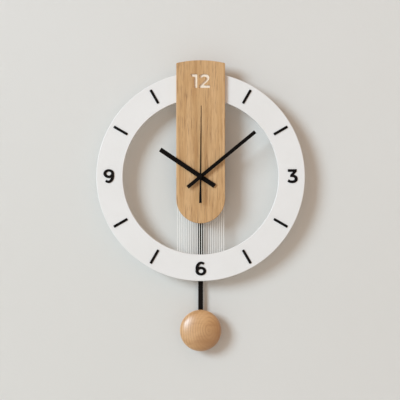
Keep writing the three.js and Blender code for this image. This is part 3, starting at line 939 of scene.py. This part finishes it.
def oval(y: float, across: float, up: float) -> list[Step]:
    """An ellipse's outline as four curves.

    Args:
        y: The height of its centre.
        across: Its half width.
        up: Its half height.

    Returns:
        The outline.
    """
    dx, dy = across * CIRCLE_HANDLE, up * CIRCLE_HANDLE
    return [
        (across, y),
        (across, y + dy, dx, y + up, 0, y + up),
        (-dx, y + up, -across, y + dy, -across, y),
        (-across, y - dy, -dx, y - up, 0, y - up),
        (dx, y - up, across, y - dy, across, y),
    ]


def raised(name: str, outline: Sequence[Step], centre: Point, back: float, front: float,
           edge: float = 0, shrink: float = 0) -> Piece:
    """A flat outline raised between two depths.

    Args:
        name: The piece's name.
        outline: Its start, then each straight or curved step; it closes on itself.
        centre: Where the outline's own nought lies on the dial.
        back: The rear depth.
        front: The front depth.
        edge: The rounding along both faces.
        shrink: How far the outline is drawn in.

    Returns:
        The solid.
    """
    curve = bpy.data.curves.new(name, "CURVE")
    curve.dimensions, curve.fill_mode, curve.resolution_u = "2D", "BOTH", CURVE_STEPS
    curve.extrude = ((front - back) / 2 - edge) * MM
    curve.bevel_depth, curve.bevel_resolution = edge * MM, EDGE_STEPS
    curve.offset = -(edge + shrink) * MM
    ends = [step[-2:] for step in outline]
    closing = ends[0] == ends[-1]
    count = len(outline) - closing
    spline = curve.splines.new("BEZIER")
    spline.bezier_points.add(count - 1)
    spline.use_cyclic_u = True
    for point, (x, y) in zip(spline.bezier_points, ends):
        point.co = (x * MM, y * MM, 0)
        point.handle_left_type = point.handle_right_type = "FREE"
        point.handle_left = point.handle_right = point.co
    for index, step in enumerate(outline[1:], 1):
        if len(step) == CURVED_STEP:
            x1, y1, x2, y2 = (value * MM for value in step[:4])
            spline.bezier_points[index - 1].handle_right = (x1, y1, 0)
            spline.bezier_points[index % count].handle_left = (x2, y2, 0)
    piece = as_mesh(added(name, curve))
    piece.rotation_euler = (QUARTER_TURN, 0, 0)
    piece.location = Dial.spot(*centre, (back + front) / 2)
    return cleaned(named(name))


@dataclass
class Workshop:
    """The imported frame, the finishes made so far, and how a finished piece joins the clock."""

    frame: dict
    made: dict[str, bpy.types.Material] = field(default_factory=dict)

    def __post_init__(self) -> None:
        """Reads each node's body and slot from the record."""
        record = self.frame["record"]
        self.body_of = {node: body for body, nodes in record["behaviour"]["bodies"].items()
                        for node in nodes}
        self.slot_of = {part["node"]: part["material_slot"] for part in record["subparts"]}

    def material(self, slot: str) -> bpy.types.Material:
        """Makes a slot's material the first time it is asked for.

        Args:
            slot: The record's name for the slot.

        Returns:
            The material.
        """
        if slot not in self.made:
            self.made[slot] = FINISHES[slot].material()
        return self.made[slot]

    def fit(self, piece: Piece, node: str) -> None:
        """Dresses a piece, stands it in for a node and lets it ride on that node's body.

        Args:
            piece: The finished mesh.
            node: The node it stands for.
        """
        slot = self.slot_of[node]
        piece.name = piece.data.name = f"{node}_piece"
        piece.data.materials.clear()
        piece.data.materials.append(self.material(slot))
        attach(piece, self.body_of[node])
        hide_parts(node)
        log.info("%s: %d faces in %s", piece.name, len(piece.data.polygons), slot)

    def carry(self, node: str, edge: float = 0) -> None:
        """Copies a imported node's mesh, merges it, rounds its edges and fits it.

        Args:
            node: The node.
            edge: The rounding's width.
        """
        piece = added(f"{node}_piece", self.frame["nodes"][node].data.copy())
        with editing(piece):
            take_all()
            bpy.ops.mesh.remove_doubles(threshold=CARRIED_GAP * MM)
            bpy.ops.mesh.dissolve_limited(angle_limit=math.radians(FLAT_ANGLE))
        self.fit(softened(piece, edge), node)


# ------------------------------------------------------------------------------- numerals

ONE: list[Step] = [(4.6, 10), (-4.6, 10), (-4.6, 6), (0.2, 6), (0.2, -10), (4.6, -10)]
TWO: list[Step] = [
    (-7.7, -10), (7.9, -10), (7.9, -6), (-1.2, -6), (3.6, -1.6),
    (6.2, 0.8, 7, 2.4, 7, 4.5), (7, 7.9, 4.3, 10, -0.1, 10), (-3.5, 10, -6.1, 8.8, -7.7, 6.5),
    (-4.5, 4.1), (-3.4, 5.5, -2.1, 6.1, -0.4, 6.1), (1.5, 6.1, 2.5, 5.4, 2.5, 4.1),
    (2.5, 3, 2, 2, 0.4, 0.5), (-7.7, -7),
]
THREE: list[Step] = [
    (-6.7, 10), (-6.7, 6.1), (0.6, 6.1), (-3.3, 1.7), (-3.3, -1.3), (-1, -1.3),
    (1.7, -1.3, 3, -2.2, 3, -3.8), (3, -5.4, 1.6, -6.2, -0.7, -6.2), (-2.5, -6.2, -4.1, -5.6, -5.5, -4.5),
    (-7.2, -7.9), (-5.5, -9.3, -3.2, -10, -0.6, -10), (4.4, -10, 7.5, -7.6, 7.5, -3.9),
    (7.5, -0.7, 5.3, 1.4, 1.9, 2), (6, 6.9), (6, 10),
]


@dataclass(frozen=True)
class SixShape:
    """A six: an oval bowl with an eye in it, and a curved stroke that rises from the bowl."""

    bowl: tuple[float, float, float] = (-3.6, 7.75, 6.4)
    eye: tuple[float, float, float] = (-3.7, 3.4, 2.8)
    stem_outer: tuple[float, ...] = (0.4, 0, 8.15, 10)
    stem_inner: tuple[float, ...] = (0.9, 0.2, 4.1, 6.2)
    stem_from: float = 53
    stem_to: float = 205
    stem_steps: int = 40

    def stem(self) -> list[Step]:
        """The stroke's outline: out along one ellipse and back along another.

        Returns:
            The outline.
        """
        first, last = math.radians(self.stem_from), math.radians(self.stem_to)
        sweep = [first + (last - first) * step / self.stem_steps for step in range(self.stem_steps + 1)]
        sides = []
        for (x, y, across, up), angles in ((self.stem_outer, sweep), (self.stem_inner, sweep[::-1])):
            sides += [(x + across * math.cos(a), y + up * math.sin(a)) for a in angles]
        return sides


# ------------------------------------------------------------------------------- sub-assemblies


@dataclass
class Board:
    """The oak board, its rebate over the ring and the 12 let into its face.

    Each of `pilots` is a screw, the radius of its blind hole and the depth at which the hole ends.
    """

    half: float = 35
    top: float = 167
    shoulder: float = 163.4
    arch_centre: float = -32
    back: float = 21
    front: float = 33
    edge: float = 0.9
    corner: float = 2.2
    corner_pull: Point = (0.8, 0.2)
    seat_gap: float = 0.3
    seat_low: float = 60
    seat_reach: float = 160
    seat_sides: int = 192
    air: float = 0.1
    arbor_hole: float = 4.2
    rim: float = 0.12
    rim_angle: float = 40
    pocket: float = 2.6
    one: Point = (-9.3, 137.3)
    two: Point = (5.5, 137.3)
    inlay_thick: float = 0.4
    inlay_edge: float = 0.06
    inlay_gap: float = 0.12
    pilots: tuple[tuple[str, float, float], ...] = (
        ("case_screw_left", 1.3, 28.3), ("case_screw_right", 1.3, 28.3), ("case_screw_low", 1, 28.3),
        ("ring_screw_left", 1.4, 31), ("ring_screw_right", 1.4, 31),
    )

    def outline(self) -> list[Step]:
        """The board's outline: an arch below, a shallow crown above.

        Returns:
            The outline.
        """
        half, low, handle = self.half, self.arch_centre, self.half * CIRCLE_HANDLE
        crown = self.top + (self.top - self.shoulder) / 3
        near, under = half - self.corner, self.shoulder - self.corner
        pull, drop = self.corner_pull
        return [
            (-half, low),
            (-half, low - handle, -handle, low - half, 0, low - half),
            (handle, low - half, half, low - handle, half, low),
            (half, under),
            (half, self.shoulder - pull, half - pull, self.shoulder - drop, near, self.shoulder),
            (near / 3, crown, -near / 3, crown, -near, self.shoulder),
            (-half + pull, self.shoulder - drop, -half, self.shoulder - pull, -half, under),
        ]

    def seat(self) -> Piece:
        """The tool that cuts the rebate in which the ring lies.

        Returns:
            The cutting tool.
        """
        low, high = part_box("dial_ring")
        outer = (high[0] - low[0]) / 2 / MM + self.seat_gap
        depth = -low[1] / MM + self.air
        seat = disc("seat", 0, 0, outer, self.back - THROUGH, depth, self.seat_sides)
        core = disc("core", 0, 0, Ring.inner - self.seat_gap, 0, depth + THROUGH, self.seat_sides)
        reach = self.seat_reach
        keep = block("keep", Dial.spot(-reach, -reach, 0), Dial.spot(reach, self.seat_low, depth + THROUGH))
        return combined(seat, [core, keep], Join.CUT)

    def build(self, shop: Workshop) -> None:
        """Makes the board and its two inlays.

        Args:
            shop: Where finished pieces are fitted.
        """
        body = raised("board", self.outline(), (0, 0), self.back, self.front, self.edge)
        behind, ahead, floor = self.back - THROUGH, self.front + THROUGH, self.front - self.pocket
        inlays = (("inlay_one", ONE, self.one), ("inlay_two", TWO, self.two))
        pockets = [raised(f"{node}_pocket", outline, centre, floor, ahead)
                   for node, outline, centre in inlays]
        arbor = disc("arbor_hole", 0, 0, self.arbor_hole, behind, ahead, BORE_SIDES)
        pilots = [drill(screw, radius, behind, end) for screw, radius, end in self.pilots]
        combined(body, [self.seat(), *pockets, arbor, *pilots], Join.CUT)
        shop.fit(softened(cleaned(body), self.rim, angle=self.rim_angle), "oak_board")
        low = floor + self.air
        for node, outline, centre in inlays:
            inlay = raised(node, outline, centre, low, low + self.inlay_thick, self.inlay_edge,
                           self.inlay_gap)
            shop.fit(softened(inlay, 0), node)


@dataclass
class Ring:
    """The white dial ring with its numerals and hour bars."""

    inner: float = 112
    edge: float = 0.8
    edge_segments: int = 4
    sides: int = 256
    screw_hole: float = 1.7
    numeral_radius: float = 132
    numeral_shift: Point = (0.3, 0.8)
    numeral_edge: float = 0.12
    six_shape: SixShape = SixShape()
    hours: tuple[int, ...] = (1, 2, 4, 5, 7, 8, 10, 11)
    bar_from: float = 121.5
    bar_to: float = 144
    bar_width: float = 3.7
    bar_corner: float = 0.6

    def build(self, shop: Workshop) -> None:
        """Makes the ring, then everything that lies on it.

        Args:
            shop: Where finished pieces are fitted.
        """
        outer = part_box("dial_ring")[1][0] / MM
        shop.fit(self.body(outer, *self.depths("dial_ring")), "dial_ring")
        self.numerals(shop)
        self.bars(shop)

    def depths(self, node: str) -> Depths:
        """The depths between which a node lies."""
        low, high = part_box(node)
        return -high[1] / MM, -low[1] / MM

    def body(self, outer: float, back: float, front: float) -> Piece:
        """A rounded rectangle spun about the hands' axis, with its two screw holes.

        Args:
            outer: The ring's outer radius.
            back: The rear depth.
            front: The front depth.

        Returns:
            The ring.
        """
        bpy.ops.object.select_all(action="DESELECT")
        middle = Dial.spot((self.inner + outer) / 2, 0, (back + front) / 2)
        bpy.ops.mesh.primitive_plane_add(size=1, location=middle)
        bpy.context.active_object.scale = ((outer - self.inner) * MM, (front - back) * MM, 1)
        ring = named("ring")
        with editing(ring):
            take_all()
            bpy.ops.mesh.bevel(offset=self.edge * MM, segments=self.edge_segments, affect="VERTICES")
            take_all()
            bpy.ops.mesh.delete(type="ONLY_FACE")
            take_all()
            bpy.ops.mesh.spin(steps=self.sides, angle=math.tau, center=Dial.spot(0, 0, 0), axis=(0, 1, 0))
        holes = [drill(f"ring_screw_{side}", self.screw_hole, back - THROUGH, front + THROUGH)
                 for side in ("left", "right")]
        return softened(combined(cleaned(ring), holes, Join.CUT), 0)

    def six(self, name: str, centre: Point, turn: float, back: float, front: float) -> Piece:
        """A six, or a nine when turned half round.

        Args:
            name: Its name.
            centre: Its place on the dial.
            turn: Its turn, in degrees.
            back: The rear depth.
            front: The front depth.

        Returns:
            The solid.
        """
        shape, middle = self.six_shape, (0, 0)
        bowl = raised(name, oval(*shape.bowl), middle, back, front)
        combined(bowl, [raised("stem", shape.stem(), middle, back, front)], Join.ADD)
        eye = raised("eye", oval(*shape.eye), middle, back - THROUGH, front + THROUGH)
        combined(bowl, [eye], Join.CUT)
        shift = Matrix.Translation(Dial.spot(*centre, 0)) @ Matrix.Rotation(math.radians(turn), 4, "Y")
        bowl.data.transform(shift @ Matrix.Translation(-Dial.spot(0, 0, 0)))
        return cleaned(bowl)

    def numerals(self, shop: Workshop) -> None:
        """Makes the 3, the 6 and the 9.

        Args:
            shop: Where finished pieces are fitted.
        """
        radius, edge, (across, up) = self.numeral_radius, self.numeral_edge, self.numeral_shift
        three = raised("three", THREE, (radius, up), *self.depths("numeral_three"), edge)
        shop.fit(softened(three, 0), "numeral_three")
        for name, centre, turn in (("six", (across, -radius), 0), ("nine", (-radius, up), 180)):
            node = f"numeral_{name}"
            shop.fit(softened(self.six(name, centre, turn, *self.depths(node)), edge), node)

    def bars(self, shop: Workshop) -> None:
        """Makes one bar and copies it to each hour that has no numeral.

        Args:
            shop: Where finished pieces are fitted.
        """
        half, corner, low, high = self.bar_width / 2, self.bar_corner, self.bar_from, self.bar_to
        outline: list[Step] = [
            (-half + corner, low), (half - corner, low), (half, low + corner), (half, high - corner),
            (half - corner, high), (-half + corner, high), (-half, high - corner), (-half, low + corner),
        ]
        first = raised("bar", outline, (0, 0), *self.depths("hour_bar_1"), self.numeral_edge)
        for hour in self.hours:
            bar = added(f"bar_{hour}", first.data.copy())
            shop.fit(softened(about_hands(bar, HOUR_ANGLE * hour), 0), f"hour_bar_{hour}")
        bpy.data.objects.remove(first)


@dataclass(frozen=True)
class HandBar:
    """One straight hand's sizes; its angle is in degrees clockwise from twelve."""

    tip: float
    tail: float
    width: float
    back: float
    thick: float
    angle: float
    boss: float
    bore: float
    proud: float = 0.5


@dataclass
class Hands:
    """The hour and minute bars and the second needle."""

    edge: float = 0.14
    hour: HandBar = HandBar(tip=69.7, tail=24.2, width=6.6, back=35, thick=1, angle=-56.2, boss=3.5,
                            bore=2.7)
    minute: HandBar = HandBar(tip=101, tail=24.2, width=5.2, back=38, thick=0.9, angle=50.6, boss=2.8,
                              bore=1.7)
    needle_sides: tuple[Point, ...] = ((1.9, -37.8), (1, -2), (1.1, 12), (0.45, 101.4))
    needle_back: float = 40.6
    needle_thick: float = 0.6
    needle_angle: float = 0.5
    needle_edge: float = 0.08
    cap: float = 2.6
    cap_depths: Depths = (-0.4, 1.5)
    cap_round: float = 0.8
    cap_segments: int = 5
    crown_band: float = 0.1
    bore: float = 0.7
    bore_depth: float = 0.75
    bore_sides: int = 32

    def build(self, shop: Workshop) -> None:
        """Makes the three hands, each at its place in time.

        Args:
            shop: Where finished pieces are fitted.
        """
        shop.fit(self.bar("hour", self.hour), "hour_hand")
        shop.fit(self.bar("minute", self.minute), "minute_hand")
        shop.fit(self.needle(), "second_hand")

    def bar(self, name: str, size: HandBar) -> Piece:
        """A straight bar with a round boss bored for its arbor.

        Args:
            name: The hand's name.
            size: Its sizes.

        Returns:
            The hand.
        """
        half, back, front = size.width / 2, size.back, size.back + size.thick
        hand = block(name, Dial.spot(-half, -size.tail, back), Dial.spot(half, size.tip, front))
        boss = disc("boss", 0, 0, size.boss, back - size.proud, front + size.proud, BORE_SIDES)
        combined(hand, [boss], Join.ADD)
        bore = disc("bore", 0, 0, size.bore, back - THROUGH, front + THROUGH, BORE_SIDES)
        combined(hand, [bore], Join.CUT)
        return softened(about_hands(cleaned(hand), size.angle), self.edge)

    def needle(self) -> Piece:
        """A tapered needle under a domed cap.

        Returns:
            The hand.
        """
        back = self.needle_back
        right, left = list(self.needle_sides), [(-x, y) for x, y in reversed(self.needle_sides)]
        outline = [left[-1], *right, *left[:-1]]
        hand = raised("needle", outline, (0, 0), back, back + self.needle_thick)
        low, high = self.cap_depths
        cap = disc("cap", 0, 0, self.cap, back + low, back + high, BORE_SIDES)
        with editing(cap):
            crown = Dial.spot(0, 0, back + high - self.crown_band).y
            pick(cap, Part.EDGES, lambda point: point.y < crown)
            bpy.ops.mesh.bevel(offset=self.cap_round * MM, segments=self.cap_segments, affect="EDGES")
        combined(hand, [cap], Join.ADD)
        bore = disc("bore", 0, 0, self.bore, back - THROUGH, back + self.bore_depth, self.bore_sides)
        combined(hand, [bore], Join.CUT)
        return softened(about_hands(cleaned(hand), self.needle_angle), self.needle_edge)


@dataclass
class Lacing:
    """One cotton cord laced up and down between two hidden bars.

    `top` and `bottom` are each a height on the dial and a depth.
    """

    count: int = 22
    pitch: float = 3.18
    radius: float = 0.5
    top: Point = (-35.3, 20.3)
    bottom: Point = (-128, 17.1)
    bight: float = 0.9
    bight_points: int = 5
    round_steps: int = 3
    smooth_angle: float = 60
    bar_edge: float = 0.4

    def route(self) -> list[Vector]:
        """The cord's middle line: each run, then a flat half turn to the next.

        Returns:
            The points it passes.
        """
        route: list[Vector] = []
        for run in range(self.count):
            x = (run - (self.count - 1) / 2) * self.pitch
            ends = [self.bottom, self.top] if run % 2 else [self.top, self.bottom]
            route += [Dial.spot(x, y, depth) for y, depth in ends]
            if run < self.count - 1:
                y, depth = ends[1]
                outward = 1 if run % 2 else -1
                for index in range(1, self.bight_points + 1):
                    angle = math.pi * index / (self.bight_points + 1)
                    across = self.pitch * (1 - math.cos(angle)) / 2
                    route.append(Dial.spot(x + across, y + outward * self.bight * math.sin(angle), depth))
        return route

    def build(self, shop: Workshop) -> None:
        """Sweeps the cord along its route and carries over the bars that hold it.

        Args:
            shop: Where finished pieces are fitted.
        """
        route = self.route()
        curve = bpy.data.curves.new("lacing", "CURVE")
        curve.dimensions, curve.bevel_depth = "3D", self.radius * MM
        curve.bevel_resolution = self.round_steps
        curve.use_fill_caps = True
        spline = curve.splines.new("POLY")
        spline.points.add(len(route) - 1)
        for point, spot in zip(spline.points, route):
            point.co = (*spot, 1)
        cord = cleaned(as_mesh(added("lacing", curve)))
        shop.fit(softened(cord, 0, angle=self.smooth_angle), "threads")
        for node in ("upper_thread_bar", "lower_thread_bar"):
            shop.carry(node, self.bar_edge)


@dataclass
class Pendulum:
    """The rod and its turned bob."""

    bob_radius: float = 30
    bob_middle: float = -222
    bob_back: float = 5
    bob_front: float = 28
    bob_sides: int = 128
    bob_rings: int = 64
    bob_edge: float = 0.3
    bob_segments: int = 3
    bob_angle: float = 50
    equator: float = 17
    rear_depth: float = 14
    rod_width: float = 7
    rod_back: float = 6.2
    rod_front: float = 7.4
    rod_edge: float = 0.18
    eye: float = 26
    eye_hole: float = 1.6
    foot: float = -215
    foot_hole: float = 1.5
    foot_gap: float = 0.4
    screw_up: float = 5
    slot_gap: float = 0.3
    slot_top: float = -180
    pilot: float = 1.3
    pilot_depths: Depths = (7, 14.3)
    carried: tuple[tuple[str, float], ...] = (
        ("swing_arm", 0.2), ("swing_magnet", 0.2), ("pendulum_hook", 0.15), ("bob_screw", 0.15),
    )

    def build(self, shop: Workshop) -> None:
        """Makes the rod and the bob, and carries over what drives them.

        Args:
            shop: Where finished pieces are fitted.
        """
        shop.fit(self.rod(), "pendulum_rod")
        shop.fit(self.bob(), "pendulum_bob")
        for node, edge in self.carried:
            shop.carry(node, edge)

    def rod(self) -> Piece:
        """A flat strip with a rounded, bored upper end.

        Returns:
            The rod.
        """
        half, back, front = self.rod_width / 2, self.rod_back, self.rod_front
        rod = block("rod", Dial.spot(-half, self.foot, back), Dial.spot(half, self.eye, front))
        combined(rod, [disc("rod_end", 0, self.eye, half, back, front)], Join.ADD)
        holes = [disc("hole", 0, y, radius, back - THROUGH, front + THROUGH)
                 for y, radius in ((self.eye, self.eye_hole), (self.foot + self.screw_up, self.foot_hole))]
        combined(rod, holes, Join.CUT)
        return softened(cleaned(rod), self.rod_edge)

    def bob(self) -> Piece:
        """A turned ball, flatter at the back, slotted for the rod.

        Returns:
            The bob.
        """
        bpy.ops.object.select_all(action="DESELECT")
        bpy.ops.mesh.primitive_uv_sphere_add(
            segments=self.bob_sides, ring_count=self.bob_rings, radius=self.bob_radius * MM,
            rotation=(QUARTER_TURN, 0, 0))
        ball = named("bob")
        halves = ((-1, self.bob_front - self.equator), (1, self.rear_depth))
        with editing(ball):
            for side, reach in halves:
                pick(ball, Part.POINTS, lambda point: point.y * side > MERGE_GAP * MM)
                bpy.ops.transform.resize(value=(1, reach / self.bob_radius, 1), center_override=(0, 0, 0))
            take_all()
            bpy.ops.transform.translate(value=Dial.spot(0, self.bob_middle, self.equator))
            take_all()
            bpy.ops.mesh.bisect(plane_co=Dial.spot(0, 0, self.bob_back), plane_no=(0, 1, 0),
                                use_fill=True, clear_outer=True)
        half = self.rod_width / 2 + self.slot_gap
        slot = block("slot", Dial.spot(-half, self.foot - self.foot_gap, -THROUGH),
                     Dial.spot(half, self.slot_top, self.rod_front + self.slot_gap))
        pilot = disc("pilot", 0, self.foot + self.screw_up, self.pilot, *self.pilot_depths, DRILL_SIDES)
        combined(cleaned(ball), [slot, pilot], Join.CUT)
        return softened(cleaned(ball), self.bob_edge, self.bob_segments, self.bob_angle)


@dataclass
class Movement:
    """The quartz movement, its case, its fixings and the plate it hangs by."""

    carried: tuple[tuple[str, float], ...] = (
        ("case_front", 0.25), ("case_back", 0.2), ("middle_plate", 0), ("setting_knob", 0.1),
        ("aa_battery", 0.25), ("contact_plus", 0.1), ("contact_minus", 0.1), ("coil_bobbin", 0.1),
        ("pendulum_coil", 0.1), ("pivot_pin", 0.1), ("stator", 0), ("motor_coil", 0.2),
        ("circuit_board", 0.1), ("control_chip", 0.1), ("quartz_crystal", 0.2), ("rotor_magnet", 0.1),
        ("wall_hanger", 0.15), ("hanger_screw_left", 0.2), ("hanger_screw_right", 0.2),
        ("ring_screw_left", 0.2), ("ring_screw_right", 0.2), ("case_screw_left", 0.2),
        ("case_screw_right", 0.2), ("case_screw_low", 0.15), ("second_wheel", 0),
        ("intermediate_wheel", 0), ("rotor_pinion", 0), ("third_wheel", 0), ("centre_wheel", 0),
        ("cannon_pinion", 0), ("minute_wheel", 0), ("hour_wheel", 0),
    )

    def build(self, shop: Workshop) -> None:
        """Carries every hidden piece over with rounded edges and its own finish."""
        for node, edge in self.carried:
            shop.carry(node, edge)


# ------------------------------------------------------------------------------- the room


@dataclass
class Room:
    """The wall the clock hangs on, the floor below it, the light and the camera.

    The width of view, what is aimed at and the rear light's places are millimetres on the dial. The
    other lengths are metres.
    """

    paint: Colour = (0.700, 0.690, 0.662)
    shade: Colour = (0.685, 0.674, 0.640)
    wall_place: tuple[float, float, float] = (0, 0.0006, -0.1)
    floor_place: tuple[float, float, float] = (0, -3, -0.85)
    extent: float = 12
    film_width: float = 36
    frame_width: float = 575
    distance: float = 2.0
    aim: tuple[float, float, float] = (-0.9, -33.5, 27.5)
    key_fall: tuple[float, float, float] = (0.97, 1.0, -0.44)
    key_distance: float = 10.0
    key_size: float = 4.3
    key_power: float = 825
    key_tint: Colour = (0.68, 0.862, 1.0)
    fill: float = 0.615
    fill_tint: Colour = (1.0, 0.735, 0.56)
    backdrop: Colour = (0.66, 0.65, 0.63)
    rear_size: float = 1.6
    rear_power: float = 4.2
    rear_place: tuple[float, float, float] = (-700, 500, -1300)
    rear_aim: tuple[float, float, float] = (0, -60, 0)

    def camera(self) -> None:
        """Sets the camera square on to the dial."""
        data = bpy.data.cameras.new("camera")
        data.sensor_width = self.film_width
        data.lens = data.sensor_width * self.distance / (self.frame_width * MM)
        camera = added("camera", data)
        camera.location = Dial.spot(*self.aim) - Vector((0, self.distance, 0))
        camera.rotation_euler = (QUARTER_TURN, 0, 0)
        bpy.context.scene.camera = camera

    def plane(self, name: str, place: Sequence[float], turn: Sequence[float]) -> None:
        """Stages a plane with the wall's paint.

        Args:
            name: Its name.
            place: Its middle.
            turn: Its turn about each axis.
        """
        bpy.ops.object.select_all(action="DESELECT")
        bpy.ops.mesh.primitive_plane_add(size=self.extent, location=place, rotation=turn)
        piece = named(name)
        piece.data.materials.append(self.wall_paint(name))
        piece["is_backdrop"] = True

    def wall_paint(self, name: str) -> bpy.types.Material:
        """Rolled wall paint that is clear from behind.

        Args:
            name: What it is for.

        Returns:
            The material.
        """
        recipe = Recipe(f"{name}_paint")
        drift = recipe.noise(1.6, detail=3)
        nap = recipe.noise(260, roughness=0.6)
        recipe.paint(recipe.tint(self.paint, self.shade, drift, 0.35, 0.65))
        recipe.bump(nap, 0.12)
        recipe.set(Roughness=0.9)
        clear = recipe.nodes.new("ShaderNodeBsdfTransparent").outputs["BSDF"]
        behind = recipe.nodes.new("ShaderNodeNewGeometry").outputs["Backfacing"]
        surface = blended(recipe.tree, behind, recipe.shader.outputs["BSDF"], clear)
        recipe.links.new(surface, recipe.output.inputs["Surface"])
        return recipe.material

    def lamp(self, name: str, place: Vector, heading: Vector, size: float, power: float) -> Piece:
        """An area light.

        Args:
            name: Its name.
            place: Where it stands.
            heading: Which way it shines.
            size: Its width.
            power: Its power, in watts.

        Returns:
            The light.
        """
        data = bpy.data.lights.new(name, "AREA")
        data.size, data.energy = size, power
        lamp = added(name, data)
        lamp.location = place
        lamp.rotation_mode = "QUATERNION"
        lamp.rotation_quaternion = heading.to_track_quat("-Z", "Y")
        return lamp

    def key_light(self) -> None:
        """One broad light from the upper left."""
        fall = Vector(self.key_fall).normalized()
        place = Dial.spot(0, 0, 0) - fall * self.key_distance
        key = self.lamp("key", place, fall, self.key_size, self.key_power)
        key.data.shape, key.data.color = "DISK", self.key_tint

    def rear_light(self) -> None:
        """A dim light behind the clock, which the wall does not stop and which lights the clock alone."""
        place = Dial.spot(*self.rear_place)
        rear = self.lamp("rear", place, Dial.spot(*self.rear_aim) - place, self.rear_size,
                         self.rear_power)
        lit, blockers = (bpy.data.collections.new(name) for name in ("rear_lit", "rear_blockers"))
        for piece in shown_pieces():
            lit.objects.link(piece)
            blockers.objects.link(piece)
        rear.light_linking.receiver_collection = lit
        rear.light_linking.blocker_collection = blockers

    def sky(self) -> None:
        """A warm sky for the light, shown as a plain pale one above the floor."""
        world = bpy.data.worlds.new("sky")
        world.use_nodes = True
        nodes = world.node_tree.nodes
        warm, pale = nodes["Background"], nodes.new("ShaderNodeBackground")
        warm.inputs["Color"].default_value = (*self.fill_tint, 1)
        warm.inputs["Strength"].default_value = self.fill
        pale.inputs["Color"].default_value = (*self.backdrop, 1)
        seen = nodes.new("ShaderNodeLightPath").outputs["Is Camera Ray"]
        surface = blended(world.node_tree, seen, warm.outputs["Background"], pale.outputs["Background"])
        world.node_tree.links.new(surface, nodes["World Output"].inputs["Surface"])
        bpy.context.scene.world = world

    def build(self) -> None:
        """Stages the wall and the floor and lights them."""
        self.plane("wall", self.wall_place, (QUARTER_TURN, 0, 0))
        self.plane("floor", self.floor_place, (0, 0, 0))
        self.key_light()
        self.sky()
        self.rear_light()


def main() -> None:
    """Builds the clock and its room."""
    logging.basicConfig(level=logging.INFO, format="%(name)s %(message)s")
    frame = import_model()
    room = Room()
    room.camera()
    shop = Workshop(frame)
    for assembly in (Board(), Ring(), Hands(), Lacing(), Pendulum(), Movement()):
        log.info("building %s", type(assembly).__name__)
        assembly.build(shop)
    room.build()
    bpy.context.scene.view_settings.view_transform = "Standard"


if __name__ == "__main__":
    main()
